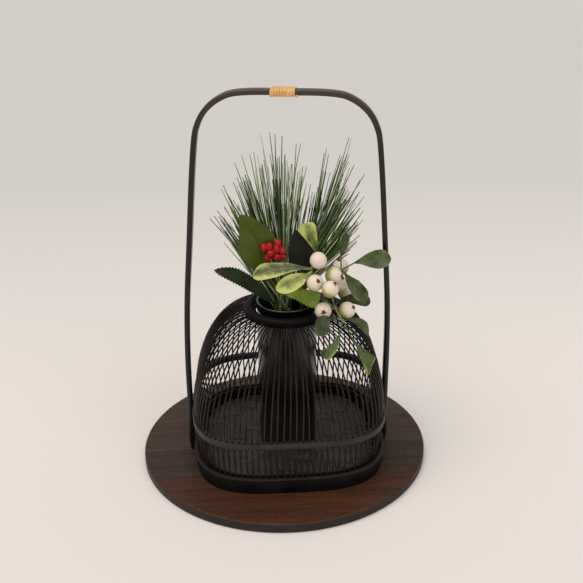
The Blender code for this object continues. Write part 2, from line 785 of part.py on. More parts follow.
def mouth_place(sideways_share, depth_share, height_share):
    """A place over the tube's mouth, where a stem leans on the inside of the rim."""
    inside = TUBE_RADIUS - TUBE_WALL
    return Vector((inside * sideways_share, inside * depth_share,
                   TUBE_TOP + SPRAY_HEIGHT * height_share))


def beside_dome(round_share, rise_share, off_share):
    """A place that stands off the ribs, square to them."""
    place = dome_point(round_share, rise_share)
    inward = Vector((-place.x, -place.y, 0)).normalized()
    run = dome_point(round_share, rise_share + BESIDE_STEP_SHARE) - place
    outward = inward.cross(UP).cross(run).normalized()
    return place + outward * DOME_STAND_OFF * off_share


def stem_foot(sideways_share, depth_share, radius, head):
    """Where a stem stands in the tube: its tilted end is a clearance off the tube's bottom."""
    foot = Vector((SPRAY_SPREAD * sideways_share, SPRAY_SPREAD * depth_share,
                   floor_top() + CLEARANCE + TUBE_BOTTOM_THICKNESS + CLEARANCE))
    lean = UP.angle(head - foot)
    return foot + UP * radius * math.sin(lean)


def add_ball(bm, centre, radius, sides=BALL_SIDES, rings=BALL_RINGS, axis=UP):
    """A ball of flat faces with one pole on its axis."""
    turned = axis.to_track_quat("Z", "Y").to_matrix()
    loops = []
    for ring in range(1, rings):
        lean = math.pi * ring / rings - math.pi / 2
        loop = circle(radius * math.cos(lean), radius * math.sin(lean), sides)
        loops.append([centre + turned @ point for point in loop])
    north = centre + turned @ UP * radius
    south = centre - turned @ UP * radius
    rows = [[bm.verts.new(point) for point in loop] for loop in loops]
    for low, high in zip(rows, rows[1:]):
        for index in range(sides):
            after = (index + 1) % sides
            bm.faces.new((low[index], low[after], high[after], high[index]))
    for pole, row in ((south, rows[0][::-1]), (north, rows[-1])):
        tip = bm.verts.new(pole)
        for index in range(sides):
            bm.faces.new((row[index], row[(index + 1) % sides], tip))


def add_rod(bm, start, end, radius):
    run = end - start
    spin = run.to_track_quat("Z", "Y").to_matrix().to_4x4()
    place = Matrix.Translation((start + end) / 2) @ spin
    bmesh.ops.create_cone(bm, cap_ends=True, segments=STEM_SIDES, radius1=radius,
                          radius2=radius, depth=run.length, matrix=place)


def grown_together(name, trunk, growths, parent):
    """Stems and buds that overlap where they join, made one body with their trunk."""
    bm = bmesh.new()
    for shape, *values in growths:
        shape(bm, *values)
    operand = placed(name + "_growths", bm, parent)
    operand.display_type = "WIRE"
    operand.hide_render = True
    bm = bmesh.new()
    shape, *values = trunk
    shape(bm, *values)
    item = placed(name, bm, parent)
    modifier = item.modifiers.new("grown_together", "BOOLEAN")
    modifier.operation = "UNION"
    modifier.use_self = True
    modifier.object = operand
    return item


def seat_on_bud(bud, towards):
    """Where a stalk or petiole starts: a clearance off a bud, on the side it grows to."""
    return bud + (towards - bud).normalized() * (BUD_DIAMETER / 2 + CLEARANCE)


def make_pine_spray(name, place, lean, spread, short_share, parent):
    """A bud whose upper faces are drawn out into needles that fan up and back."""
    bm = bmesh.new()
    radius = PINE_BUD_DIAMETER / 2
    add_ball(bm, Vector((0, 0, 0)), radius, PINE_SIDES, PINE_RINGS)
    bmesh.ops.recalc_face_normals(bm, faces=bm.faces)
    upper = [face for face in bm.faces if face.normal.z > 0]
    facing = [face.normal.copy() for face in upper]
    drawn = bmesh.ops.extrude_discrete_faces(bm, faces=upper)["faces"]
    for number, (face, normal) in enumerate(zip(drawn, facing)):
        aside = lean + spread * normal.x
        back = PINE_BACK_TILT + PINE_DEPTH_TILT * normal.y
        way = Vector((math.sin(aside) * math.cos(back), math.sin(back),
                      math.cos(aside) * math.cos(back)))
        uneven = 1 - PINE_UNEVEN_SHARE * (1 - math.cos(PINE_UNEVEN_BEAT * number)) / 2
        length = PINE_NEEDLE_LENGTH * (1 - short_share * abs(aside)) * uneven
        middle = face.calc_center_median()
        for corner in face.verts:
            corner.co = way * length + (corner.co - middle) * PINE_TIP_SHARE
    bmesh.ops.translate(bm, verts=bm.verts, vec=place)
    spray = placed(name, bm, parent)
    finish(spray, (0.060, 0.105, 0.035), 0.55)


def make_pine(parent):
    """Two pine sprays, each over the end of a straight twig that stands in the tube."""
    for hand, bud_shares, foot_shares, lean, spread, short_share in PINE_SPRAY_SHARES:
        bud = spray_place(*bud_shares)
        make_pine_spray("pine_" + hand, bud, lean, spread, short_share, parent)
        foot = stem_foot(*foot_shares, TWIG_DIAMETER / 2, bud)
        run = (bud - foot).normalized()
        head = bud - run * (PINE_BUD_DIAMETER / 2 + CLEARANCE)
        twig = rod("pine_twig_" + hand, foot, head, TWIG_DIAMETER / 2, STEM_SIDES + 2, parent)
        finish(twig, (0.085, 0.075, 0.030), 0.7)


def make_leaf(name, bud, blade, tip, width, facing, shares, curl, colour, parent):
    """A thin blade on its petiole: widths by shares along it, curled about its width."""
    run = tip - blade
    facing = Vector(facing)
    facing = (facing - run.normalized() * facing.dot(run.normalized())).normalized()
    across = run.cross(facing).normalized()
    seat = seat_on_bud(bud, blade)
    stations = [(seat, PETIOLE_WIDTH, PETIOLE_WIDTH)]
    for index, share in enumerate(shares):
        along = index / (len(shares) - 1)
        middle = blade + run * along + facing * (run.length * curl * 4 * along * (1 - along))
        stations.append((middle, max(width * share, PETIOLE_WIDTH), LEAF_THICKNESS))
    loops = []
    for middle, wide, thick in stations:
        loops.append([middle + across * wide / 2, middle + facing * thick / 2,
                      middle - across * wide / 2, middle - facing * thick / 2])
    leaf = lofted(name, loops, parent)
    finish(leaf, colour, 0.45)


def make_leafy_stem(parent):
    """The stem of the toothed leaves, with a bud for each group, and the leaves on it."""
    buds = {name: spray_place(*shares) for name, shares in LEAFY_BUD_SHARES}
    foot = stem_foot(*LEAFY_FOOT_SHARES, STEM_DIAMETER / 2, buds["low"])
    growths = [(add_ball, bud, BUD_DIAMETER / 2) for bud in buds.values()]
    growths.append((add_rod, buds["low"], buds["high"], STEM_DIAMETER / 2))
    stem = grown_together("leafy_stem", (add_rod, foot, buds["low"], STEM_DIAMETER / 2),
                          growths, parent)
    finish(stem, (0.080, 0.130, 0.030), 0.55)
    for name, bud, blade, tip, size, facing, curl, colour in TOOTHED_LEAF_SHARES:
        make_leaf(name, buds[bud], spray_place(*blade), spray_place(*tip),
                  TOOTHED_LEAF_WIDTH * size, facing, TOOTHED_WIDTH_SHARES, curl, colour, parent)
    return buds["high"]


def make_red_berries(bud, parent):
    """A tight cluster round the knob of one stalk, grown together as one body."""
    middle = spray_place(*RED_CLUSTER_SHARES)
    radius = RED_BERRY_DIAMETER / 2
    growths = [(add_ball, middle, RED_KNOB_DIAMETER / 2)]
    for sideways, deep, up in RED_BERRY_STEP_SHARES:
        step = Vector((sideways, deep, up)) * RED_BERRY_SPACING
        growths.append((add_ball, middle + step, radius))
    seat = seat_on_bud(bud, middle)
    cluster = grown_together("red_berries", (add_rod, seat, middle, STALK_DIAMETER / 2), growths,
                             parent)
    finish(cluster, (0.60, 0.012, 0.015), 0.35)


def make_berry_sprig(parent):
    """The branching sprig: its stem in the tube, its branches, leaves and cream berries."""
    buds = {name: spray_place(*shares) for name, shares in SPRIG_BUD_SHARES}
    crotch = mouth_place(*SPRIG_CROTCH_SHARES)
    foot = stem_foot(*SPRIG_FOOT_SHARES, STEM_DIAMETER / 2, crotch)
    stem_end = crotch - (buds["fork"] - foot).normalized() * CLEARANCE
    stem = rod("sprig_stem", foot, stem_end, STEM_DIAMETER / 2, STEM_SIDES + 2, parent)
    finish(stem, (0.080, 0.130, 0.030), 0.55)
    berries = [(bud, spray_place(*shares)) for bud, shares in CREAM_BERRY_SHARES]
    growths = [(add_ball, bud, BUD_DIAMETER / 2) for bud in buds.values()]
    for start, end in SPRIG_BRANCHES:
        growths.append((add_rod, buds[start], buds[end], STALK_DIAMETER / 2))
    for bud, centre in berries:
        way = (centre - buds[bud]).normalized()
        end = centre - way * (CREAM_BERRY_DIAMETER / 2 + CLEARANCE)
        growths.append((add_rod, buds[bud], end, STALK_DIAMETER / 2))
    branches = grown_together("sprig_branches",
                              (add_rod, crotch, buds["fork"], STALK_DIAMETER / 2), growths,
                              parent)
    finish(branches, (0.090, 0.150, 0.035), 0.55)
    for number, (bud, centre) in enumerate(berries, 1):
        bm = bmesh.new()
        add_ball(bm, centre, CREAM_BERRY_DIAMETER / 2, BALL_SIDES + 2, BALL_RINGS + 1,
                 buds[bud] - centre)
        berry = placed(f"cream_berry_{number}", bm, parent)
        finish(berry, (0.75, 0.68, 0.46), 0.35)
    for rows, place in ((SPOON_LEAF_SHARES, spray_place), (HANGING_LEAF_SHARES, beside_dome)):
        for name, bud, blade, tip, size, facing, curl, colour in rows:
            make_leaf("spoon_leaf_" + name, buds[bud], place(*blade), place(*tip),
                      SPOON_LEAF_WIDTH * size, facing, SPOON_WIDTH_SHARES, curl, colour, parent)


def make_part():
    clear_scene()
    ground = empty("board_place", (0, 0, 0))
    make_board(ground)
    seat = (BASKET_RIGHT, -BASKET_FORWARD, BOARD_THICKNESS + CLEARANCE)
    basket = empty("basket_lift", seat, ground)
    make_base(basket)
    for number in range(RIB_COUNT // RIBS_PER_SET):
        make_rib_set(number, basket)
    make_waist_hoop(basket)
    make_neck_ring(basket)
    make_handle(basket)
    make_pegs(basket)
    make_binding(basket)
    tube = empty("tube_lift", (0, 0, 0), basket)
    make_water_tube(tube)
    flowers = empty("flower_lift", (0, 0, 0), tube)
    make_pine(flowers)
    leafy_bud = make_leafy_stem(flowers)
    make_red_berries(leafy_bud, flowers)
    make_berry_sprig(flowers)


make_part()
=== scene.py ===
"""Dresses the ikebana basket: lacquered bamboo, a stained board, a water tube and its flowers."""

import math
import random

import bpy
import numpy as np
from mathutils import Matrix, Vector


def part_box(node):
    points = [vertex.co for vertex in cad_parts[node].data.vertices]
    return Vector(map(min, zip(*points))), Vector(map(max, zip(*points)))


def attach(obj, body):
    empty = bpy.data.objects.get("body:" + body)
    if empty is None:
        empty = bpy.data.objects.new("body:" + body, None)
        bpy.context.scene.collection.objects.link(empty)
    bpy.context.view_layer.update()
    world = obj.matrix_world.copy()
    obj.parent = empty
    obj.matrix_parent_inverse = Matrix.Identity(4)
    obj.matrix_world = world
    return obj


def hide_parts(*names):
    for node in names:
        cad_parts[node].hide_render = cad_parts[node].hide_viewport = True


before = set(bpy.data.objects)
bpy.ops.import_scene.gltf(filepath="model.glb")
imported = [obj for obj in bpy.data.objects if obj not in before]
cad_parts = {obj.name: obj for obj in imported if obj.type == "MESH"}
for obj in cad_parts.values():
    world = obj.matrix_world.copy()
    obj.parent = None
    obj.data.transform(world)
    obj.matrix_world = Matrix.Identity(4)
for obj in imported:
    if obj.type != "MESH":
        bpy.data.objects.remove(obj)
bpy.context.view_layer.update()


# The studio.
# A camera a little above the handle looks down at the basket, on a plain pale floor that runs
# out of view. The pale air and two broad soft lamps light it, the stronger from above and left.

CAMERA_PLACE = (-0.0385, -0.8824, 0.5695)
CAMERA_HEADING = 0.0946
CAMERA_PITCH = 0.4116
CAMERA_ROLL = 0.006
SENSOR_WIDTH = 36
FOCAL_LENGTH = 58.66
LENS_SHIFT = -0.0617
FLOOR_SIZE = 14
FLOOR_DROP = 0.0003
FLOOR_PALE = "#E6DFDA"
FAR_PALE = "#CECCC8"
SKY_PALE = "#F4F1EE"
SKY_STRENGTH = 0.515
CARD_NEAR, CARD_FAR = 0.15, 0.95
LAMPS = (
    ("overhead_left", (-0.38, -0.25, 1), 1.62, 55, "#FFFAF4"),
    ("front_right", (0.7, -0.9, 1.1), 0.58, 45, "#F6F8FF"),
)


def linear(colour):
    """The linear value of an sRGB hex colour, as a shader's socket takes it."""
    parts = [int(colour[start:start + 2], 16) / 255 for start in (1, 3, 5)]
    return (*[part / 12.92 if part <= 0.04045 else ((part + 0.055) / 1.055) ** 2.4
              for part in parts], 1)


def set_up(node, settings):
    """Sets a node: nodes and (node, output) pairs are linked, hex colours are made linear."""
    for key, value in settings.items():
        if isinstance(value, bpy.types.Node):
            value = value, 0
        if key == "stops":
            ramp = node.color_ramp
            while len(ramp.elements) < len(value):
                ramp.elements.new(1)
            for element, (place, colour) in zip(ramp.elements, value):
                element.position = place
                element.color = linear(colour)
        elif isinstance(value, tuple) and isinstance(value[0], bpy.types.Node):
            node.id_data.links.new(value[0].outputs[value[1]], node.inputs[key])
        elif isinstance(key, str) and hasattr(node, key):
            setattr(node, key, value)
        else:
            node.inputs[key].default_value = linear(value) if isinstance(value, str) else value
    return node


def add_node(tree, kind, settings=None):
    """Adds one node of a kind and sets it."""
    return set_up(tree.nodes.new("ShaderNode" + kind), settings or {})


def placed(tree, output="Object"):
    """A place in the piece's own space, or on its map, split into X, Y and Z."""
    return add_node(tree, "SeparateXYZ", {0: (add_node(tree, "TexCoord"), output)})


def ranged(tree, source, low=0, high=1, start=0, end=1):
    """Maps values between low and high to values between start and end."""
    return add_node(tree, "MapRange", {0: source, "From Min": low, "From Max": high,
                                       "To Min": start, "To Max": end})


def toned(tree, source, *stops):
    """Colours for the values of a node, between stops of (value, colour)."""
    return add_node(tree, "ValToRGB", {"stops": stops, 0: source})


def new_material(name):
    """A material and its node tree."""
    material = bpy.data.materials.new(name)
    material.use_nodes = True
    return material, material.node_tree


def finish(tree, colour, roughness, glint=0.5, relief=None, **more):
    """Feeds the shader its colour, roughness, gloss and relief, and what more it takes."""
    if relief is not None:
        more["Normal"] = relief
    set_up(tree.nodes["Principled BSDF"], {"Base Color": colour, "Roughness": roughness,
                                           "Specular IOR Level": glint, **more})


ahead = Vector((math.sin(CAMERA_HEADING) * math.cos(CAMERA_PITCH),
                math.cos(CAMERA_HEADING) * math.cos(CAMERA_PITCH), -math.sin(CAMERA_PITCH)))
level = ahead.cross(Vector((0, 0, 1))).normalized()
upright = level.cross(ahead)
right = level * math.cos(CAMERA_ROLL) + upright * math.sin(CAMERA_ROLL)
above = upright * math.cos(CAMERA_ROLL) - level * math.sin(CAMERA_ROLL)
bpy.ops.object.camera_add(location=CAMERA_PLACE)
camera = bpy.context.object
camera.rotation_euler = Matrix((right, above, -ahead)).transposed().to_euler()
camera.data.sensor_width = SENSOR_WIDTH
camera.data.lens = FOCAL_LENGTH
camera.data.shift_x = LENS_SHIFT
bpy.context.scene.camera = camera
bpy.context.scene.view_settings.view_transform = "Standard"

world = bpy.data.worlds.new("studio_air")
bpy.context.scene.world = world
world.use_nodes = True
sky = world.node_tree.nodes["Background"]
sky.inputs["Color"].default_value = linear(SKY_PALE)
sky.inputs["Strength"].default_value = SKY_STRENGTH

for name, way, strength, spread, colour in LAMPS:
    bpy.ops.object.light_add(type="SUN", location=way)
    lamp = bpy.context.object
    lamp.name = "lamp_" + name
    lamp.data.angle = math.radians(spread)
    lamp.data.energy = strength
    lamp.data.color = linear(colour)[:3]
    lamp.rotation_euler = (-Vector(way)).to_track_quat("-Z", "Y").to_euler()

# Matt card: it takes a soft shadow and gives no gloss, paler near the basket.
card, tree = new_material("pale_card")
blend = ranged(tree, (placed(tree), "Y"), CARD_NEAR, CARD_FAR)
finish(tree, toned(tree, blend, (0, FLOOR_PALE), (1, FAR_PALE)), roughness=0.95, glint=0.1)
bpy.ops.mesh.primitive_plane_add(size=FLOOR_SIZE, location=(0, 0, -FLOOR_DROP))
floor = bpy.context.object
floor.name = "studio_floor"
floor.data.materials.append(card)


# The round board.
# A disc of walnut-stained wood, 300 mm across, turned with a small round on its top edge. The
# grain runs from left to right, and the stain is warmer towards the front.

BOARD_RADIUS = 0.15
BOARD_THICKNESS = 0.01
BOARD_ROUND = 0.0018
BOARD_BEVEL = 0.001
BOARD_STEPS = 192
ROUND_STEPS = 6
PLANKS = ((-0.15, "#543320"), (-0.066, "#4E3020"), (-0.064, "#41322B"), (-0.015, "#43352E"),
          (-0.013, "#4E3D34"), (0.15, "#513F35"))
WALNUT_DARK, WALNUT_PALE = "#8A8480", "#F2ECE6"
SIDE_TONE = "#2A211E"
SMOOTH_ANGLE = math.radians(40)
SAME_PLACE = 0.00001


def added(name, add, **settings):
    """What one operator adds, named, with nothing else selected."""
    bpy.ops.object.select_all(action="DESELECT")
    add(**settings)
    piece = bpy.context.object
    piece.name = piece.data.name = name
    return piece


def arc(radius, height, size, start, end):
    """Corners of a round in a turned profile, its angles in quarter turns from outward to up."""
    turns = [math.pi / 2 * (start + (end - start) * step / ROUND_STEPS)
             for step in range(ROUND_STEPS + 1)]
    return [(radius + size * math.cos(turn), height + size * math.sin(turn)) for turn in turns]


def closed(piece, fill=False):
    """Joins doubled corners, fills open ends if asked to, and turns all faces outward."""
    bpy.ops.object.mode_set(mode="EDIT")
    bpy.ops.mesh.select_all(action="SELECT")
    bpy.ops.mesh.remove_doubles(threshold=SAME_PLACE)
    if fill:
        bpy.ops.mesh.fill_holes(sides=0)
    bpy.ops.mesh.normals_make_consistent(inside=False)
    bpy.ops.object.mode_set(mode="OBJECT")
    bpy.ops.object.shade_smooth_by_angle(angle=SMOOTH_ANGLE)
    return piece


def turned(name, profile, steps, centre=(0, 0, 0)):
    """Turns a closed profile of (radius, height) corners round the upright through centre."""
    piece = added(name, bpy.ops.mesh.primitive_circle_add, vertices=len(profile))
    for corner, (radius, height) in zip(piece.data.vertices, profile):
        corner.co = Vector(centre) + Vector((radius, 0, height))
    bpy.ops.object.mode_set(mode="EDIT")
    bpy.ops.mesh.select_all(action="SELECT")
    bpy.ops.mesh.spin(steps=steps, angle=2 * math.pi, center=centre, axis=(0, 0, 1))
    bpy.ops.object.mode_set(mode="OBJECT")
    return closed(piece)


def fitted(piece, body, slot, material, *nodes):
    """Gives a finished piece its finish, its body and the nodes it stands for."""
    piece.data.materials.clear()
    piece.data.materials.append(material)
    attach(piece, body)
    if nodes:
        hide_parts(*nodes)


def noise(tree, scale, detail=2, stretch=None, **more):
    """Noise in the piece's own space, which stretch scales first."""
    place = add_node(tree, "TexCoord"), "Object"
    if stretch:
        place = add_node(tree, "Mapping", {"Scale": stretch, 0: place})
    return add_node(tree, "TexNoise", {"Scale": scale, "Detail": detail, "Vector": place, **more})


def mixed(tree, share, ground, over, blend="MIX"):
    """One colour over another, by a share that may come from a node."""
    return add_node(tree, "Mix", {"data_type": "RGBA", "blend_type": blend, 0: share,
                                  6: ground, 7: over}), 2


def raised(tree, height, strength, depth):
    """Relief from the values of a node."""
    return add_node(tree, "Bump", {"Strength": strength, "Distance": depth, "Height": height})


# Open-grained walnut under a dark stain: each plank took it differently, and streaks a few
# millimetres wide run along it under a low satin sheen that the pores break up.
walnut, tree = new_material("stained_walnut")
apart = placed(tree)
across = ranged(tree, (apart, "Y"), -BOARD_RADIUS, BOARD_RADIUS)
planks = toned(tree, across, *[(0.5 + y / BOARD_RADIUS / 2, colour) for y, colour in PLANKS])
figure = noise(tree, 1.6, 7, stretch=(6, 90, 90), Roughness=0.65, Distortion=0.6)
grain = toned(tree, figure, (0.3, WALNUT_DARK), (0.7, WALNUT_PALE))
figured = mixed(tree, 0.85, planks, grain, "MULTIPLY")
speck = ranged(tree, noise(tree, 420, 3, Roughness=0.7), 0.3, 0.75, 0.6, 1.6)
mottle = mixed(tree, 0.8, figured, speck, "MULTIPLY")
# The board is darker on its side, below the round of its top edge.
low_down = ranged(tree, (apart, "Z"), BOARD_THICKNESS - BOARD_ROUND * 0.4,
                  BOARD_THICKNESS - BOARD_ROUND)
pore = noise(tree, 1, 3, stretch=(90, 1100, 1100))
finish(tree, mixed(tree, low_down, mottle, SIDE_TONE), ranged(tree, pore, 0, 1, 0.4, 0.62),
       glint=0.22, relief=raised(tree, pore, 0.22, 0.0006))
profile = [(0, 0), (BOARD_RADIUS - BOARD_BEVEL, 0), (BOARD_RADIUS, BOARD_BEVEL)]
profile += arc(BOARD_RADIUS - BOARD_ROUND, BOARD_THICKNESS - BOARD_ROUND, BOARD_ROUND, 0, 1)
profile.append((0, BOARD_THICKNESS))
fitted(turned("walnut_board", profile, BOARD_STEPS), "board", "board_wood", walnut, "board")


# The base of the basket.
# A strip of thick bamboo bent to a rounded square, with a flange inside that carries the floor.
# A thinner, paler lip hoop lies on it and a lining hoop stands behind the feet of the ribs.

low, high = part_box("base_ring")
MIDDLE = Vector(((low.x + high.x) / 2, (low.y + high.y) / 2, low.z))
BASE_HALF_WIDTH = 0.098
BASE_SQUARENESS = 3.3
BASE_HEIGHT = 0.0146
BASE_WALL = 0.0026
FLANGE_WIDTH = 0.012
FLANGE_THICKNESS = 0.0027
CLEARANCE = 0.0003
LIP_HALF_WIDTH = 0.0994
LIP_WIDTH = 0.0037
LIP_TOP = 0.0169
LINING_HALF_WIDTH = 0.092
LINING_THICKNESS = 0.0022
HOOP_STEPS = 320
EDGE_ROUND = 0.0005
CORNER_BULGE = 0.29
LIP_ROUND = 0.0008


def softened(corners, size=EDGE_ROUND):
    """A profile with each of its corners rounded off by three points."""
    soft = []
    for index, corner in enumerate(corners):
        here = Vector(corner)
        before = (Vector(corners[index - 1]) - here).normalized() * size
        after = (Vector(corners[(index + 1) % len(corners)]) - here).normalized() * size
        soft += [here + before, here + (before + after) * CORNER_BULGE, here + after]
    return [tuple(point) for point in soft]


def band(outer, width, low_end, high_end, size=EDGE_ROUND):
    """The section of a flat hoop, its corners rounded off."""
    inner = outer - width
    return softened(((outer, low_end), (outer, high_end), (inner, high_end), (inner, low_end)),
                    size)


def hoop(name, section, squareness):
    """A turned hoop, pushed out to a rounded square of the same half width."""
    piece = turned(name, section, HOOP_STEPS, MIDDLE)
    for corner in piece.data.vertices:
        across, deep = corner.co.x - MIDDLE.x, corner.co.y - MIDDLE.y
        reach = math.hypot(across, deep)
        fullness = abs(across / reach) ** squareness + abs(deep / reach) ** squareness
        grown = fullness ** (-1 / squareness)
        corner.co.x = MIDDLE.x + across * grown
        corner.co.y = MIDDLE.y + deep * grown
    return piece


def bamboo_lacquer(name, dark, mid, brown, gloss, glint=0.3, fibres=0.18):
    """Lacquer on bamboo: nearly black, brown where it is thin, with fine fibres."""
    material, tree = new_material(name)
    cloud = noise(tree, 85, 4, Roughness=0.6)
    fibre = noise(tree, 1, stretch=(900, 900, 60))
    finish(tree, toned(tree, cloud, (0.34, dark), (0.55, mid), (0.78, brown)),
           ranged(tree, cloud, 0, 1, gloss - 0.07, gloss + 0.1), glint,
           raised(tree, fibre, fibres, 0.0004))
    return material


# Black-brown lacquer, brushed thin and left satin.
black_lacquer = bamboo_lacquer("black_brown_lacquer", "#0B0909", "#120F0E", "#1B1513", 0.42, 0.16)
# The same lacquer rubbed by hands: greyer and a little paler.
worn_lacquer = bamboo_lacquer("rubbed_lacquer", "#272221", "#302A28", "#3A3431", 0.4)
# The lip is rubbed less: a thin line a shade above the ring's own black.
lip_lacquer = bamboo_lacquer("lip_lacquer", "#1A1615", "#221D1C", "#2C2624", 0.4)

wall, flange = BASE_HALF_WIDTH - BASE_WALL, BASE_HALF_WIDTH - FLANGE_WIDTH
ring = softened(((BASE_HALF_WIDTH, 0), (BASE_HALF_WIDTH, BASE_HEIGHT), (wall, BASE_HEIGHT),
                 (wall, FLANGE_THICKNESS), (flange, FLANGE_THICKNESS), (flange, 0)))
lip = band(LIP_HALF_WIDTH, LIP_WIDTH, BASE_HEIGHT + CLEARANCE, LIP_TOP, LIP_ROUND)
lining = band(LINING_HALF_WIDTH, LINING_THICKNESS, FLANGE_THICKNESS + CLEARANCE, LIP_TOP)
for name, section, slot, lacquer, node in (
        ("base_hoop", ring, "lacquered_bamboo", black_lacquer, "base_ring"),
        ("base_lip_hoop", lip, "worn_bamboo", lip_lacquer, "base_lip"),
        ("base_lining_hoop", lining, "lacquered_bamboo", black_lacquer, "base_lining")):
    fitted(hoop(name, section, BASE_SQUARENESS), "basket", slot, lacquer, node)


# The floor mat.
# Split bamboo strips about 6 mm wide lie side by side from front to back. Thin cross strips
# hold them: each shows for three strips and then dives, a step further along in every row.

FLOOR_TOP = 0.0065
FLOOR_HALF_WIDTH = 0.0894
STRIP_PITCH = 0.006
STRIP_WIDTH = 0.0053
STRIP_THICKNESS = 0.0012
CROSS_PITCH = 0.016
CROSS_WIDTH = 0.0066
CROSS_THICKNESS = 0.0009
FLOAT_LENGTH = 3
FLOAT_REPEAT = 10
# A strip dips under a cross strip: places in shares of the cross strip's width, and how much
# of the full dip it has there.
DIP = 0.0011
DIP_SHAPE = ((-0.72, 0), (-0.5, 1), (0.5, 1), (0.72, 0))
FLOAT_EDGES = (-0.42, 0.42)
END_MARGIN = 0.001
CROWN_SHARE = 0.25


def floats_over(column, row):
    """Whether the cross strip of a row lies on top of a strip."""
    return (column - row * FLOAT_LENGTH) % FLOAT_REPEAT < FLOAT_LENGTH


def thickened(piece, thickness, offset):
    """Gives a sheet its thickness, below it or to both sides of it."""
    solid = piece.modifiers.new("thickness", "SOLIDIFY")
    solid.thickness, solid.offset = thickness, offset
    bpy.ops.object.modifier_apply(modifier=solid.name)
    return piece


def mat_bar(way, offset, width, thickness, lowered, ends, crossings):
    """A crowned bar of the mat along a way, bent to the (along, height) of its crossings."""
    share = (abs(offset) + width / 2) / FLOOR_HALF_WIDTH
    reach = FLOOR_HALF_WIDTH * (1 - share ** BASE_SQUARENESS) ** (1 / BASE_SQUARENESS)
    within = [(reach + along, height) for along, height in crossings
              if END_MARGIN < reach + along < 2 * reach - END_MARGIN]
    stations = [(0, ends), *within, (2 * reach, ends)]
    start = (MIDDLE + Vector((way.y, way.x, 0)) * offset - way * reach
             + Vector((0, 0, FLOOR_TOP - lowered)))
    side = Vector((0, 0, 1)).cross(way)
    bar = added("bar", bpy.ops.mesh.primitive_grid_add, x_subdivisions=len(stations) - 1,
                y_subdivisions=4, size=1)
    for corner in bar.data.vertices:
        along, height = stations[round((corner.co.x + 0.5) * (len(stations) - 1))]
        crown = (1 - (2 * corner.co.y) ** 4) * thickness * CROWN_SHARE
        corner.co = start + way * along + side * corner.co.y * width
        corner.co.z = start.z + height + crown
    return thickened(bar, thickness * (1 - CROWN_SHARE), -1)


def picked(pieces):
    """Selects these pieces alone, the first of them as the active one."""
    bpy.ops.object.select_all(action="DESELECT")
    for piece in pieces:
        piece.select_set(True)
    bpy.context.view_layer.objects.active = pieces[0]


def joined(name, parts):
    """Several parts made one piece."""
    picked(parts)
    bpy.ops.object.join()
    piece = bpy.context.object
    piece.name = piece.data.name = name
    bpy.ops.object.shade_smooth_by_angle(angle=SMOOTH_ANGLE)
    return piece


side_strips, side_rows = FLOOR_HALF_WIDTH // STRIP_PITCH, FLOOR_HALF_WIDTH // CROSS_PITCH
columns = range(-int(side_strips), int(side_strips) + 1)
rows = range(-int(side_rows), int(side_rows) + 1)
strips, crosses = [], []
for column in columns:
    dips = [(row * CROSS_PITCH + edge * CROSS_WIDTH, -DIP * share * floats_over(column, row))
            for row in rows for edge, share in DIP_SHAPE]
    strips.append(mat_bar(Vector((0, 1, 0)), column * STRIP_PITCH, STRIP_WIDTH, STRIP_THICKNESS,
                          STRIP_THICKNESS * CROWN_SHARE, 0, dips))
for row in rows:
    floats = [((column + edge) * STRIP_PITCH,
               CROSS_THICKNESS * CROWN_SHARE if floats_over(column, row) else
               -STRIP_THICKNESS * 1.2) for column in columns for edge in FLOAT_EDGES]
    crosses.append(mat_bar(Vector((1, 0, 0)), row * CROSS_PITCH, CROSS_WIDTH, CROSS_THICKNESS,
                           CROSS_THICKNESS * (1 - CROWN_SHARE), -STRIP_THICKNESS, floats))

# Dyed split bamboo: flatter and drier than the hoops, so its light is greyer.
mat_lacquer = bamboo_lacquer("dyed_split_bamboo", "#292220", "#38302C", "#4A3F3A", 0.42, 0.4)
fitted(joined("floor_strips", strips), "basket", "lacquered_bamboo", mat_lacquer, "floor_mat")
fitted(joined("floor_cross_strips", crosses), "basket", "lacquered_bamboo", mat_lacquer)


# The ribs.
# 108 thin round splints stand in the base, run through holes in the waist hoop and are bent in
# to the neck ring. They are drawn round, dyed and lacquered, and no two are bent quite alike.

RIB_COUNT = 108
RIBS_PER_SET = 9
RIB_DIAMETER = 0.0016
RIB_FOOT_HALF_WIDTH = 0.0935
RIB_FOOT_LOW = 0.003
RIB_FOOT_HIGH = 0.007
WAIST_HALF_WIDTH = 0.0969
WAIST_SQUARENESS = 3.55
WAIST_TOP = 0.0574
WAIST_LOW = 0.0509
NECK_INNER_RADIUS = 0.0348
NECK_OUTER_RADIUS = 0.0432
RIB_TIP_HEIGHT = 0.1555
RIB_SHOULDER = 0.56
RIB_BROW = 0.45
RIB_SWAY = 0.0016
RIB_STRAY = 0.0012
TIP_STRAY = 0.26
TIP_THINNING = 0.16
DOME_STEPS = 18
EDGE_TRACE = 1441
# Heights where the painted reflection on the lower ribs is none and where it is full.
RIB_REFLECTION_FROM, RIB_REFLECTION_TO = 0.15, 0.1


def edge_places(half_width, squareness, share):
    """A place on a rounded square, at a share of the way round it from its right side."""
    turns = np.linspace(0, 2 * math.pi, EDGE_TRACE)
    fullness = np.abs(np.cos(turns)) ** squareness + np.abs(np.sin(turns)) ** squareness
    reach = half_width * fullness ** (-1 / squareness)
    x, y = reach * np.cos(turns), reach * np.sin(turns)
    travelled = np.concatenate(([0], np.cumsum(np.hypot(np.diff(x), np.diff(y)))))
    around = share % 1 * travelled[-1]
    return float(np.interp(around, travelled, x)), float(np.interp(around, travelled, y))


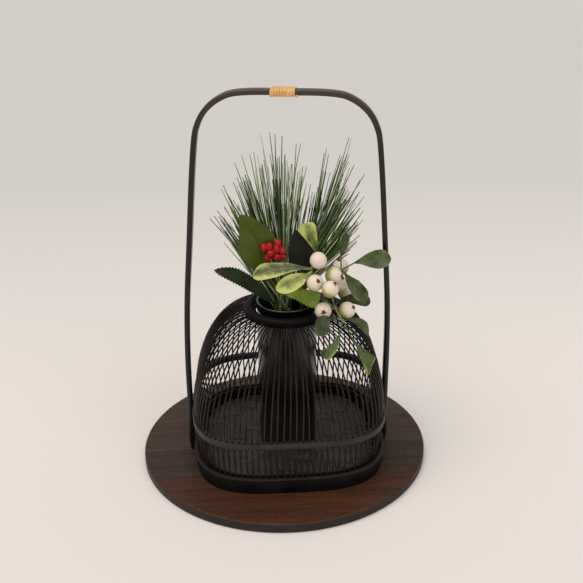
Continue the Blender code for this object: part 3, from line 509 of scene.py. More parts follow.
def rib_line(share):
    """The centre line of one rib, from its foot to its tip."""
    # An odd whole number for each rib, as the seed of its own draws.
    chance = random.Random(round(share * RIB_COUNT * 2))
    foot = edge_places(RIB_FOOT_HALF_WIDTH, BASE_SQUARENESS, share)
    waist = Vector((*edge_places(WAIST_HALF_WIDTH, WAIST_SQUARENESS, share),
                    WAIST_TOP + CLEARANCE))
    turn = 2 * math.pi * (share + chance.uniform(-TIP_STRAY, TIP_STRAY) / RIB_COUNT)
    strayed = Vector((*edge_places(1, 2, share + 0.25), 0)) * chance.uniform(-RIB_STRAY, RIB_STRAY)
    tip_radius = NECK_OUTER_RADIUS + CLEARANCE
    tip = Vector((tip_radius * math.cos(turn), tip_radius * math.sin(turn), RIB_TIP_HEIGHT))
    line = [Vector((*foot, RIB_FOOT_LOW)), Vector((*foot, RIB_FOOT_HIGH))]
    for step in range(DOME_STEPS + 1):
        bend = step / DOME_STEPS
        shoulder = 3 * bend * (1 - bend) ** 2
        brow = 3 * bend ** 2 * (1 - bend)
        point = tip + (waist - tip) * ((1 - bend) ** 3 + shoulder + RIB_BROW * brow)
        point.z = waist.z + (tip.z - waist.z) * (RIB_SHOULDER * shoulder + brow + bend ** 3)
        point.x += RIB_SWAY * 4 * bend * (1 - bend)
        line.append(point + strayed * math.sin(math.pi * bend))
    return [MIDDLE + point for point in line]


def rods(name, lines, radius, sides=2, sizes=None):
    """Round rods along lines of points, as one mesh; sizes give a rod's girth along it."""
    curve = bpy.data.curves.new(name, "CURVE")
    curve.dimensions = "3D"
    curve.bevel_depth = radius
    curve.bevel_resolution = sides
    curve.use_fill_caps = True
    for line in lines:
        spline = curve.splines.new("POLY")
        spline.points.add(len(line) - 1)
        for target, point, size in zip(spline.points, line, sizes or [1] * len(line)):
            target.co, target.radius = (*point, 1), size
    piece = bpy.data.objects.new(name, curve)
    bpy.context.collection.objects.link(piece)
    picked([piece])
    bpy.ops.object.convert(target="MESH")
    bpy.ops.object.shade_smooth()
    return bpy.context.object


def painted_sheen(material, bare, start, end):
    """Paints a paler tone over the lacquer, a painted sheen, from none at one height to all at
    another.
    """
    tree = material.node_tree
    shader = tree.nodes["Principled BSDF"]
    ground = shader.inputs["Base Color"].links[0].from_node
    sheen_share = ranged(tree, (placed(tree), "Z"), start, end)
    set_up(shader, {"Base Color": mixed(tree, sheen_share, ground, bare)})


# Round splints under the same lacquer, with a tighter gloss on their crowns, and a paler
# brown-grey painted on from the shoulder down: a painted reflection of the bright room on the
# upright lower ribs.
rib_lacquer = bamboo_lacquer("lacquered_splints", "#050404", "#0B0807", "#2E1D15", 0.2, 0.14,
                             0.04)
painted_sheen(rib_lacquer, "#2B2422", RIB_REFLECTION_FROM, RIB_REFLECTION_TO)
girths = [1, 1] + [1 - TIP_THINNING * (step / DOME_STEPS) ** 2 for step in range(DOME_STEPS + 1)]
for number in range(RIB_COUNT // RIBS_PER_SET):
    first = number * RIBS_PER_SET
    lines = [rib_line((first + place + 1 / 2) / RIB_COUNT) for place in range(RIBS_PER_SET)]
    ribs = rods(f"ribs_{number + 1:02d}", lines, RIB_DIAMETER / 2, 2, girths)
    fitted(ribs, "basket", "lacquered_bamboo", rib_lacquer, f"rib_set_{number + 1:02d}")


# The waist hoop.
# One bent band of bamboo, drilled from top to bottom for every rib, so that its top shows a
# row of small dark holes. Its outer face is rubbed paler than the ribs.

WAIST_OUTER = 0.0994
WAIST_WIDTH = 0.0054
WAIST_ROUND = 0.0007
HOLE_RADIUS = 0.0013
HOLE_DOWN, HOLE_UP = 0.01, 0.003
DRILL_SIDES = 12


def drill(start, end, radius):
    """A round cutter from one point to another."""
    run = end - start
    cutter = added("drill", bpy.ops.mesh.primitive_cylinder_add, vertices=DRILL_SIDES,
                   radius=radius, depth=run.length, location=(start + end) / 2,
                   rotation=run.to_track_quat("Z", "Y").to_euler())
    bpy.ops.object.transform_apply()
    return cutter


def drilled(piece, cutters):
    """Takes the cutters out of a piece."""
    cutter = joined("drill", cutters)
    picked([piece])
    bore = piece.modifiers.new("bores", "BOOLEAN")
    bore.operation = "DIFFERENCE"
    bore.object = cutter
    bpy.ops.object.modifier_apply(modifier=bore.name)
    bpy.data.objects.remove(cutter)
    bpy.ops.object.shade_smooth_by_angle(angle=SMOOTH_ANGLE)
    return piece


waist = hoop("waist_hoop", band(WAIST_OUTER, WAIST_WIDTH, WAIST_LOW, WAIST_TOP, WAIST_ROUND),
             WAIST_SQUARENESS)
drills = []
for number in range(RIB_COUNT):
    line = rib_line((number + 1 / 2) / RIB_COUNT)
    way = (line[2] - line[1]).normalized()
    drills.append(drill(line[2] - way * HOLE_DOWN, line[2] + way * HOLE_UP, HOLE_RADIUS))
fitted(drilled(waist, drills), "basket", "worn_bamboo", worn_lacquer, "waist_hoop_outer",
       "waist_hoop_inner")


# The neck ring.
# A turned collar that the rib tips run into, rounded over on top, with a thin toe at its foot
# towards the tube. It is lacquered more thickly than the ribs, so it is matt and even.

NECK_BOTTOM = 0.154
NECK_HEIGHT = 0.0087
NECK_STEPS = 128
NECK_SOFTNESS = 0.0002
# Shares of the wall outward from its inner face, and of the height.
NECK_SHAPE = (
    (-0.42, 0), (-0.42, 0.3), (0, 0.5), (0, 0.62), (0.1, 0.74), (0.3, 0.93), (0.37, 0.985),
    (0.44, 1), (0.54, 0.98), (0.78, 0.88), (0.92, 0.78), (0.98, 0.7), (1, 0.6), (1, 0))
# Thick matt lacquer: an even dark grey with a faint brown cast.
neck_matt = bamboo_lacquer("matt_collar_lacquer", "#0A0808", "#0F0C0B", "#181312", 0.5, 0.1)
wall = NECK_OUTER_RADIUS - NECK_INNER_RADIUS
section = softened([(NECK_INNER_RADIUS + wall * out, NECK_BOTTOM + NECK_HEIGHT * rise)
                    for out, rise in NECK_SHAPE], NECK_SOFTNESS)
fitted(turned("neck_collar", section, NECK_STEPS, MIDDLE), "basket", "neck_lacquer", neck_matt,
       "neck_ring")


# The water tube.
# A moulded plastic cup that stands on the floor mat and reaches up through the neck ring. Its
# wall is mirror-smooth black, and its rim is rolled a little outwards.

TUBE_RADIUS = 0.0303
TUBE_RIM_RADIUS = 0.0308
TUBE_RIM_HEIGHT = 0.003
TUBE_WALL = 0.0015
TUBE_FLOOR = 0.002
TUBE_LOW = 0.0068
TUBE_TOP = 0.1667
TUBE_BEVEL = 0.0012
RIM_ROUND, MOUTH_ROUND = 0.0008, 0.0006
TUBE_STEPS = 128
inside, tube_floor = TUBE_RADIUS - TUBE_WALL, TUBE_LOW + TUBE_FLOOR
profile = [(0, TUBE_LOW), (TUBE_RADIUS - TUBE_BEVEL, TUBE_LOW),
           (TUBE_RADIUS, TUBE_LOW + TUBE_BEVEL), (TUBE_RADIUS, TUBE_TOP - TUBE_RIM_HEIGHT),
           (TUBE_RIM_RADIUS, TUBE_TOP - TUBE_RIM_HEIGHT * 0.7)]
profile += arc(TUBE_RIM_RADIUS - RIM_ROUND, TUBE_TOP - RIM_ROUND, RIM_ROUND, 0, 1)
profile += arc(inside + MOUTH_ROUND, TUBE_TOP - MOUTH_ROUND, MOUTH_ROUND, 1, 2)
profile += [(inside, tube_floor + TUBE_BEVEL), (inside - TUBE_BEVEL, tube_floor),
            (0, tube_floor)]
# Polished black styrene: no texture of its own, it shows what stands round it.
styrene, tree = new_material("black_styrene")
wear = noise(tree, 30, 3)
finish(tree, toned(tree, wear, (0.3, "#0B0A0A"), (0.7, "#121010")),
       ranged(tree, wear, 0, 1, 0.1, 0.22), glint=0.75, IOR=1.59)
fitted(turned("water_cup", profile, TUBE_STEPS, MIDDLE), "water_tube", "tube_plastic", styrene,
       "water_tube")


# The handle.
# One flat strip of thick bamboo, 11 mm wide, its edges taken off, heated and bent to an arch.
# It twists a little as it rises, and its tapered feet stand just outside the base.

HANDLE_HEIGHT = 0.3806
HANDLE_REACH = 0.1051
HANDLE_THICKNESS = 0.0054
HANDLE_WIDTH = 0.011
HANDLE_ROUND = 0.0018
HANDLE_FOOT_TAPER = 0.009
HANDLE_FOOT_SHARE = 0.55
TAPER_GAP = 1.2
HANDLE_TWIST = math.radians(7.5)
TWIST_START, TWIST_END = 0.18, 0.66
HANDLE_LEAN = 0.0025
HANDLE_OUTLINE = (
    (1, 0), (1, 0.15), (0.999, 0.294), (0.982, 0.44), (0.94, 0.606),
    (0.895, 0.77), (0.857, 0.875), (0.823, 0.913), (0.767, 0.943), (0.683, 0.968),
    (0.573, 0.987), (0.467, 0.996), (0.284, 1), (0, 1))
HANDLE_SMOOTH = 8
HANDLE_SIDES = 28
CORNER_STEPS = 4
PEG_HEIGHTS = (0.0073, 0.05415)
PEG_BORE_RADIUS = 0.0015
PEG_BORE_REACH = 0.003
# Heights where the painted sheen on the top of the arch starts and where it is full.
CROWN_SHEEN_FROM, CROWN_SHEEN_TO = 0.33, 0.388
neighbours = [edge_places(WAIST_HALF_WIDTH, WAIST_SQUARENESS, rib / RIB_COUNT) for rib in (0, 1)]
rib_pitch = math.dist(*neighbours)


def smooth_line(corners, steps):
    """Points of a smooth curve through the corners, with steps in each stretch."""
    points = []
    for index in range(len(corners) - 1):
        before = corners[max(index - 1, 0)]
        start, end = corners[index], corners[index + 1]
        after = corners[min(index + 2, len(corners) - 1)]
        for step in range(steps):
            share = step / steps
            points.append((start * 2 + (end - before) * share
                           + (before * 2 - start * 5 + end * 4 - after) * share ** 2
                           + (start * 3 - before - end * 3 + after) * share ** 3) / 2)
    return points + [corners[-1]]


def swayed(point):
    """The arch's twist about its own upright, its lean, and its place beside the ribs."""
    rise = point.z / HANDLE_HEIGHT
    climb = min(max((rise - TWIST_START) / (TWIST_END - TWIST_START), 0), 1)
    turn = -HANDLE_TWIST * climb ** 2 * (3 - 2 * climb)
    moved = Matrix.Rotation(turn, 3, "Z") @ point
    moved.x += HANDLE_LEAN * rise ** 2
    moved.y -= rib_pitch
    return MIDDLE + moved


def rounded_bar(half_deep, half_wide, size, share):
    """A place on a rounded rectangle, at a share of the way round from the middle of its top."""
    outline = []
    for quarter, (side, rise) in enumerate(((1, 1), (1, -1), (-1, -1), (-1, 1))):
        for step in range(CORNER_STEPS + 1):
            turn = math.pi / 2 * (1 - quarter - step / CORNER_STEPS)
            outline.append((side * (half_wide - size) + size * math.cos(turn),
                            rise * (half_deep - size) + size * math.sin(turn)))
    outline = [(0, half_deep)] + outline + [(0, half_deep)]
    lengths = np.cumsum([0] + [math.dist(a, b) for a, b in zip(outline, outline[1:])])
    return [float(np.interp(share * lengths[-1], lengths, side)) for side in zip(*outline)]


def rolled(name, place, along, around):
    """A flat grid rolled into a closed bar: place(row, share) gives each of its points."""
    piece = added(name, bpy.ops.mesh.primitive_grid_add, x_subdivisions=along,
                  y_subdivisions=around, size=1)
    for corner in piece.data.vertices:
        corner.co = place(round((corner.co.x + 0.5) * along), corner.co.y + 0.5)
    return closed(piece, fill=True)


rising = [Vector((HANDLE_REACH * reach, 0, HANDLE_HEIGHT * rise))
          for reach, rise in HANDLE_OUTLINE]
falling = [Vector((-corner.x, 0, corner.z)) for corner in rising[:-1]]
arch = smooth_line(falling + rising[::-1], HANDLE_SMOOTH)
feet = arch[0], arch[-1]
tapers = [foot + Vector((0, 0, HANDLE_FOOT_TAPER)) for foot in feet]
arch = [point for point in arch if point.z > HANDLE_FOOT_TAPER * TAPER_GAP]
arch = [feet[0], tapers[0], *arch, tapers[1], feet[1]]


def arch_run(index):
    before, after = arch[max(index - 1, 0)], arch[min(index + 1, len(arch) - 1)]
    return (after - before).normalized()


def handle_skin(row, share):
    size = HANDLE_FOOT_SHARE if row in (0, len(arch) - 1) else 1
    wide, deep = rounded_bar(HANDLE_THICKNESS * size / 2, HANDLE_WIDTH * size / 2,
                             HANDLE_ROUND * size, share)
    inward = arch_run(row).cross(Vector((0, -1, 0))).normalized()
    return swayed(arch[row] + inward * (HANDLE_THICKNESS / 2 - deep) + Vector((0, wide, 0)))


handle = rolled("bent_handle", handle_skin, len(arch) - 1, HANDLE_SIDES)
bores = []
for side in (-1, 1):
    for height in PEG_HEIGHTS:
        middle = MIDDLE + Vector((side * (HANDLE_REACH - HANDLE_THICKNESS), -rib_pitch, height))
        reach = Vector((side * PEG_BORE_REACH, 0, 0))
        bores.append(drill(middle - reach, middle + reach, PEG_BORE_RADIUS))
# The same lacquer over a broad smooth face, painted paler and browner at the top of the arch: a
# painted sheen where the light from above falls on it.
handle_lacquer = bamboo_lacquer("handle_lacquer", "#0A0706", "#120D0B", "#22150E", 0.28, 0.4)
painted_sheen(handle_lacquer, "#3A302C", CROWN_SHEEN_FROM, CROWN_SHEEN_TO)
fitted(drilled(handle, bores), "basket", "handle_lacquer", handle_lacquer, "handle")


def plain(name, scale, detail, stops, roughness, glint=0.5, stretch=None, relief=None):
    """A finish in the tones of one noise, which may raise it too, by (strength, depth)."""
    material, tree = new_material(name)
    cloud = noise(tree, scale, detail, stretch)
    finish(tree, toned(tree, cloud, *stops), roughness, glint,
           raised(tree, cloud, *relief) if relief else None)
    return material


# Pegs: split bamboo pins, pale and fibrous, that hold the handle to both hoops.
peg_wood = plain("bare_bamboo_pegs", 1, 2, ((0.3, "#7A5A34"), (0.7, "#A98452")), 0.62,
                 stretch=(120, 1600, 1600))
for name in ("peg_base_left", "peg_base_right", "peg_waist_left", "peg_waist_right"):
    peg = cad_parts[name].data
    peg.materials.clear()
    peg.materials.append(peg_wood)


# The binding.
# Peeled rattan, a flat cane about 2.4 mm wide, wound ten times round the middle of the handle.
# Its end is tucked under the turns at the front and pulled tight below, where it leaves a knob.

BINDING_TURNS = 10
BINDING_PITCH = 0.0023
BINDING_LEFT = 0.0034
CANE_WIDTH = 0.0024
CANE_THICKNESS = 0.0013
CANE_SIDES = 10
CANE_DRIFT = 0.00022
POINTS_PER_TURN = 36
TUCK_TURN = 5.25
TUCK_RADIUS = 0.001
TUCK_OUT = 0.0008
TUCK_RISES = (-0.0022, -0.0011, 0, 0.0011, 0.0022)
TUCK_GIRTHS = (0.45, 0.9, 1, 0.9, 0.45)
# The knob starts at the lower front edge, past the last turn, and runs right, back and down.
KNOB_RADIUS = 0.0012
KNOB_START = (0.0007, -0.0004, 0.0008)
KNOB_RUN = Vector((0.001, 0.0012, -0.0024))
KNOB_STEPS = (0, 0.35, 0.7, 1)
KNOB_GIRTHS = (0.9, 1.1, 1, 0.5)
chance = random.Random(11)
turn_drift = [chance.uniform(-CANE_DRIFT, CANE_DRIFT) for _ in range(BINDING_TURNS + 2)]
binding_start = -BINDING_LEFT - BINDING_TURNS * BINDING_PITCH / 2


def binding_place(turns, off):
    """A place on the winding, off the strip's surface."""
    drift = turn_drift[int(turns)] * (1 - turns % 1) + turn_drift[int(turns) + 1] * (turns % 1)
    x = binding_start + BINDING_PITCH * turns + drift
    level = float(np.interp(x, [point.x for point in arch], [point.z for point in arch]))
    wide, deep = rounded_bar(HANDLE_THICKNESS / 2 + off, HANDLE_WIDTH / 2 + off,
                             HANDLE_ROUND + off, (turns + 0.5) % 1)
    return Vector((x, wide, level - HANDLE_THICKNESS / 2 + deep))


def cane_skin(row, share):
    turn = 2 * math.pi * share
    off = CLEARANCE + CANE_THICKNESS / 2 * (1 + math.sin(turn))
    place = binding_place(row / POINTS_PER_TURN, off)
    place.x += CANE_WIDTH / 2 * math.cos(turn)
    return swayed(place)


winding = rolled("rattan_winding", cane_skin, BINDING_TURNS * POINTS_PER_TURN, CANE_SIDES)
tuck_x = binding_place(TUCK_TURN, CANE_THICKNESS + 2 * CLEARANCE).x
face, middle = -HANDLE_WIDTH / 2, HANDLE_HEIGHT - HANDLE_THICKNESS / 2
tuck = [swayed(Vector((tuck_x, face - CANE_THICKNESS - TUCK_OUT, middle + rise)))
        for rise in TUCK_RISES]
tuck = rods("rattan_tuck", [tuck], TUCK_RADIUS, 2, TUCK_GIRTHS)
corner = Vector((binding_start + BINDING_PITCH * BINDING_TURNS, face,
                 HANDLE_HEIGHT - HANDLE_THICKNESS)) + Vector(KNOB_START)
knob = [swayed(corner + KNOB_RUN * share) for share in KNOB_STEPS]
knob = rods("rattan_knob", [knob], KNOB_RADIUS, 2, KNOB_GIRTHS)
# Peeled rattan: straw yellow with fine lengthwise pith lines and browner hollows.
cane = plain("peeled_rattan", 1, 3, ((0.3, "#C08A48"), (0.5, "#E4B06C"), (0.72, "#F4D09A")),
             0.46, stretch=(1500, 160, 160), relief=(0.25, 0.0003))
fitted(winding, "basket", "rattan", cane, "handle_binding")
fitted(tuck, "basket", "rattan", cane)
fitted(knob, "basket", "rattan", cane)


# The pine.
# Two sprays of long needles on wire-cored twigs that stand in the tube. The needles are thin
# plastic, set in pairs along the last of the twig, and they fan up and back over each other.

RIM = MIDDLE + Vector((0, 0, TUBE_TOP))
NEEDLE_RADIUS = 0.00062
NEEDLE_STEPS = 5
NEEDLE_GIRTHS = (1, 1, 1, 1, 0.9, 0.55)
TWIG_RADIUS = 0.0018
BRANCH_RADIUS = TWIG_RADIUS * 0.7
BRANCH_GIRTHS = (1.3, 1.3, 1.2, 1.1, 1, 0.9, 0.8, 0.7, 0.5)
# For each spray, in millimetres from the rim: the top of its twig, its foot, the end of its
# branch, its pairs of needles, the seed of its draws, and the tips that its outline shows.
SPRAYS = (
    ("left", (-3, 3, 9.4), (-8, 6), (-4, 8, 46), 88, 12, (
        (-74, 82), (-70, 84), (-67, 89), (-61, 59), (-65, 76), (-60, 94), (-55, 104), (-53, 88),
        (-62, 110), (-60, 114), (-50, 117), (-43, 116), (-48, 137), (-41, 143), (-33, 145),
        (-29, 145), (-26, 144), (-20, 147), (-22, 164), (-13, 164), (-8, 163), (-1, 161),
        (-4, 140), (3, 139), (5, 132), (13, 152), (17, 153), (16, 130), (19, 129), (23, 129),
        (26, 115))),
    ("right", (19, 13, 19.6), (4, 10), (38, 19, 52), 82, 8, (
        (23, 90), (29, 101), (34, 109), (38, 96), (43, 147), (43, 130), (43, 120), (63, 110),
        (66, 155), (68, 155), (64, 140), (71, 129), (66, 127), (82, 118), (76, 115), (76, 103),
        (77, 94), (77, 87), (80, 83), (74, 71), (75, 66), (76, 60), (73, 52), (68, 42))),
)
NEEDLE_LEAN = 0.17
NEEDLE_STRAY = math.radians(7)
NEEDLE_REACH = (0.42, 1, 0.84)
NEEDLE_BOW = 1.4
TIP_DEPTH, END_DEPTHS = 6, (-14, 12)
# How a needle's twin ends beside it, as a share of its length and to the right, back and up.
PAIR_SPREAD = 0.08
PAIR_STRAY = (1, 1, -1, 0.3)
HUB_SHARE = 0.2
# How the needles sit on the twig: the highest tips sit at its end, the lowest well back.
SEAT_LOW, SEAT_RUN, SEAT_DROP, SEAT_END = 62, 95, 0.42, 1.1
SEAT_STRAY = (7, 3, -4, 3)
FOOT_LIFT = 0.0005


def from_rim(x, y, z):
    """A place in the arrangement, in millimetres from the middle of the tube's rim."""
    return RIM + Vector((x, y, z)) / 1000


def foot_of(node, x, y, lift):
    """Where a stem stands: its place from the rim, a little over the foot of its solid."""
    place = from_rim(x, y, 0)
    place.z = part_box(node)[0].z + lift
    return place


def rod_between(name, start, end, radius, sides=2):
    return rods(name, [[start.lerp(end, step / 6) for step in range(7)]], radius, sides)


def strewn(chance, x, y, low, high):
    """A draw to either side by up to x and y, and from low to high."""
    return Vector((chance.uniform(-x, x), chance.uniform(-y, y), chance.uniform(low, high)))


def write_points(piece, name, values):
    """Stores a value for each corner, which a material reads by its name."""
    piece.data.attributes.new(name, "FLOAT", "POINT").data.foreach_set("value", values)


# Soft plastic needles: bottle green and leaf green, with dark brown ones among them, and a dull
# gloss. The palest grey ones are a painted sheen, the light that glances off some needles.
needles, tree = new_material("pine_needles")
tone = add_node(tree, "Attribute", {"attribute_name": "tone"}), "Fac"
greens = toned(tree, tone, (0.08, "#2E261D"), (0.22, "#27341C"), (0.42, "#456028"),
               (0.62, "#66893A"), (0.8, "#86A05E"), (0.95, "#B4BAA4"))
patch = ranged(tree, noise(tree, 60), 0, 1, 0.8, 1.25)
finish(tree, mixed(tree, 1, greens, patch, "MULTIPLY"), roughness=0.45, glint=0.35)
# Twig: brown-green bark over wire, rough to the eye.
bark = plain("twig_bark", 700, 4, ((0.35, "#3A3320"), (0.65, "#5C5433")), 0.8,
             relief=(0.6, 0.0006))

for hand, bud, foot, crown, pairs, seed, tips in SPRAYS:
    chance = random.Random(seed)
    root, crown = Vector(bud), Vector(crown)
    hub = root.lerp(crown, HUB_SHARE)
    fan = sorted((math.atan2(x - hub.x, z - hub.z), math.hypot(x - hub.x, z - hub.z))
                 for x, z in tips)
    angles, reaches = zip(*fan)
    ends = [Vector((x, root.y + NEEDLE_LEAN * z + chance.uniform(-TIP_DEPTH, TIP_DEPTH), z))
            for x, z in tips]
    for _ in range(pairs):
        slot = chance.uniform(0, len(fan) - 1)
        aside = (float(np.interp(slot, range(len(fan)), angles))
                 + chance.uniform(-NEEDLE_STRAY, NEEDLE_STRAY))
        reach = float(np.interp(aside, angles, reaches)) * chance.triangular(*NEEDLE_REACH)
        height = hub.z + math.cos(aside) * reach
        end = Vector((hub.x + math.sin(aside) * reach,
                      root.y + NEEDLE_LEAN * height + chance.uniform(*END_DEPTHS), height))
        ends += [end, end + strewn(chance, *PAIR_STRAY) * (reach * PAIR_SPREAD)]
    lines = []
    for end in ends:
        climb = min(max((end.z - SEAT_LOW) / SEAT_RUN, 0), 1)
        seat = root.lerp(crown, chance.uniform(0, SEAT_END) * climb
                         - SEAT_DROP * (1 + (1 - climb) * chance.random()))
        seat += strewn(chance, *SEAT_STRAY)
        bow = Vector((chance.uniform(-1, 1), chance.uniform(-0.6, 1), 0)) * NEEDLE_BOW
        shares = [step / NEEDLE_STEPS for step in range(NEEDLE_STEPS + 1)]
        lines.append([from_rim(*(seat.lerp(end, share) + bow * 4 * share * (1 - share)))
                      for share in shares])
    spray = rods("pine_needles_" + hand, lines, NEEDLE_RADIUS, 0, NEEDLE_GIRTHS)
    tones = [[chance.random()] * (len(spray.data.vertices) // len(lines)) for _ in lines]
    write_points(spray, "tone", sum(tones, []))
    fitted(spray, "flowers", "pine_needle", needles, "pine_" + hand)
    branch = [from_rim(*root.lerp(crown, step / 8)) for step in range(9)]
    fitted(rods("pine_branch_" + hand, [branch], BRANCH_RADIUS, 2, BRANCH_GIRTHS), "flowers",
           "twig_bark", bark)
    twig = "pine_twig_" + hand
    stick = rod_between("pine_stick_" + hand, foot_of(twig, *foot, FOOT_LIFT), from_rim(*root),
                        TWIG_RADIUS, 3)
    fitted(stick, "flowers", "twig_bark", bark, twig)


# The toothed leaves.
# Four leaves of dyed, starched cloth on one stem, cut with a fine toothed edge: a broad olive
# one that stands up, a long dark one to the left, a dark one behind and a bright one in front.

STEM_RADIUS = 0.0012
STALK_RADIUS = 0.0007
NODE_RADIUS = 0.002
LEAF_THICKNESS = 0.0007
LEAF_STEPS, TOOTHED_STEPS = 36, 120
TOOTH_PITCH = 0.0032
TOOTH_DEPTH = 0.0019
TOOTH_TURN = 0.75
NARROW_EDGE = 0.003
RUFFLE = 0.05
PETIOLE_GIRTHS = (1, 1, 0.95, 0.9, 0.85, 0.75, 0.4)
STEM_LIFT = 0.0002
LEAFY_FOOT = (-2, -4)
LEAFY_BUDS = ((-7, -5, -6), (-5, -7, 10.2))
# Each leaf: its bud, its blade's start and tip, the way it faces, its curl, its bow in
# millimetres, its fold, and its outline in shares of the length and half widths left and right
# in millimetres.
TOOTHED_LEAVES = (
    ("leaf_upright", 1, (-24, -12, 37), (-45.5, -12, 95.5), (0.1, -1, 0.25), 0.05, 6.4, 0.1,
     ((0, 1.5, 1.5), (0.07, 9, 6), (0.19, 14.6, 11), (0.35, 18.5, 14.5), (0.5, 19.5, 16),
      (0.62, 16.8, 14.5), (0.78, 9.5, 10.2), (0.9, 4, 6.6), (0.97, 1.2, 2.7), (1, 0.1, 0.1)),
     "olive"),
    ("leaf_left", 0, (-16, -12, 4), (-71, -24, 43.6), (0.25, -0.9, 0.6), 0.04, 4.6, 0.22,
     ((0, 1.5, 1.5), (0.12, 4.4, 3.5), (0.25, 6.4, 5.2), (0.4, 7, 5.8), (0.55, 7, 6.5),
      (0.68, 6.4, 7), (0.8, 5, 6), (0.9, 3.4, 3.9), (0.96, 1.8, 2.1), (1, 0.1, 0.1)),
     "dark"),
    ("leaf_back", 1, (19, -10, 33), (10, -6, 76), (0.1, -1, -0.1), 0.04, 0, 0.14,
     ((0, 1.5, 1.5), (0.12, 7, 5), (0.3, 12, 9), (0.5, 13, 10), (0.7, 11, 9), (0.85, 7, 6),
      (0.95, 3, 2.6), (1, 0.1, 0.1)), "dusky"),
    ("leaf_light", 1, (0, -15, 11.2), (31, -27, 8.6), (-0.1, -1, 0.45), 0.04, 0, 0.1,
     ((0, 0.8, 0.8), (0.12, 3, 1.8), (0.28, 5.8, 2.4), (0.5, 7.8, 4.6), (0.65, 7.6, 6.2),
      (0.8, 6.8, 6.9), (0.9, 6.6, 7), (1, 6.2, 6.4)), "light"),
)


def maths(tree, operation, *terms):
    """One calculation with numbers and the values of nodes."""
    return add_node(tree, "Math", {"operation": operation, **dict(enumerate(terms))})


def cloth_leaf(name, deep, middle, edge, edge_share, rib, rib_strength, spots, gloss=0.5,
               one_side=0):
    """Dyed cloth: mottled ground, another tone towards edge and tip, and pressed veins."""
    material, tree = new_material(name)
    apart = placed(tree, "UV")
    along, across = (apart, "X"), maths(tree, "SUBTRACT", (apart, "Y"), 0.5)
    aside = maths(tree, "ABSOLUTE", across)
    cloud = noise(tree, spots, 3, Roughness=0.6)
    outward = maths(tree, "MULTIPLY_ADD", aside, 0.9, cloud)
    outward = maths(tree, "MULTIPLY_ADD", along, 0.42, outward)
    outward = maths(tree, "MULTIPLY_ADD", across, one_side, outward)
    fringe = ranged(tree, outward, 1.38 - edge_share, 1.68 - edge_share)
    ground = mixed(tree, fringe, toned(tree, cloud, (0.38, deep), (0.62, middle)), edge)
    spine = ranged(tree, aside, 0.026, 0.008)
    slant = maths(tree, "MULTIPLY_ADD", aside, -0.55, along)
    waves = maths(tree, "SINE", maths(tree, "MULTIPLY", slant, 56))
    lines = maths(tree, "MAXIMUM", spine, ranged(tree, waves, 0.92, 1, 0, 0.4))
    veined = mixed(tree, maths(tree, "MULTIPLY", lines, rib_strength), ground, rib)
    pressed = maths(tree, "MULTIPLY_ADD", lines, -0.8, noise(tree, 1400))
    finish(tree, veined, gloss, glint=0.22, relief=raised(tree, pressed, 0.35, 0.0005))
    return material


leaf_dyes = {
    # Olive cloth, even in tone, with a darker pressed midrib.
    "olive": (cloth_leaf("olive_cloth_leaf", "#434E12", "#4E5A18", "#414B12", 0, "#2C3812",
                         0.8, 40), "olive_leaf"),
    # Bottle green, almost black in the shade.
    "dark": (cloth_leaf("dark_cloth_leaf", "#18220F", "#222F13", "#2E3F19", 0.12, "#2F3D22",
                        0.5, 60), "dark_leaf"),
    # Blackish green, scorched red-brown at its tip.
    "dusky": (cloth_leaf("dusky_cloth_leaf", "#13170C", "#1B1F12", "#4A2117", 0.04, "#23291C",
                         0.5, 60), "dark_leaf"),
    # Fresh mid green.
    "light": (cloth_leaf("fresh_cloth_leaf", "#72892B", "#86A03A", "#97AE4A", 0.1, "#41591C",
                         0.5, 70), "light_leaf"),
}


def leaf(name, bud, blade, tip, facing, curl, bow, fold, outline, toothed=False):
    """A cut leaf on its petiole: a grid drawn to the outline and folded along its midrib."""
    blade, tip, facing = from_rim(*blade), from_rim(*tip), Vector(facing)
    run = tip - blade
    facing = (facing - run.normalized() * facing.dot(run.normalized())).normalized()
    across = run.cross(facing).normalized()
    places = [share for share, _, _ in outline]
    sides = [[row[side] / 1000 for row in outline] for side in (1, 2)]

    def spine(share):
        arched = 4 * share * (1 - share)
        return (blade + run * share + facing * run.length * curl * arched
                + across * bow / 1000 * arched)

    piece = added(name, bpy.ops.mesh.primitive_grid_add, y_subdivisions=12, size=1,
                  x_subdivisions=TOOTHED_STEPS if toothed else LEAF_STEPS)
    for corner in piece.data.vertices:
        share, aside = corner.co.x + 0.5, corner.co.y * 2
        half = float(np.interp(share, places, sides[aside > 0]))
        if toothed:
            tooth = share * run.length / TOOTH_PITCH % 1
            cut = tooth if tooth < TOOTH_TURN else (1 - tooth) * 3
            half += TOOTH_DEPTH * cut * min(half / NARROW_EDGE, 1)
        lift = half * fold * abs(aside) ** 1.3
        ruffle = RUFFLE * half * math.sin(share * 15 + aside * 2) * abs(aside)
        corner.co = spine(share) + across * half * aside + facing * (lift + ruffle)
    thickened(piece, LEAF_THICKNESS, 0)
    bpy.ops.object.shade_smooth_by_angle(angle=SMOOTH_ANGLE)
    start = bud + (blade - bud).normalized() * (NODE_RADIUS + CLEARANCE)
    line = [start.lerp(blade, step / 4) for step in range(4)]
    line += [spine(0), spine(0.08), spine(0.2)]
    return joined(name, [piece, rods("petiole", [line], STALK_RADIUS, 2, PETIOLE_GIRTHS)])


# Plastic stems: fresh green with a yellower skin here and there.
green_stem = plain("green_plastic_stem", 120, 3, ((0.3, "#5C7034"), (0.7, "#879852")), 0.5)


def node_ball(name, centre, radius):
    """The swelling where stalks leave a stem."""
    ball = added(name, bpy.ops.mesh.primitive_uv_sphere_add, segments=16, ring_count=10,
                 radius=radius, location=centre, scale=(1, 1, 1.1))
    bpy.ops.object.transform_apply()
    return ball


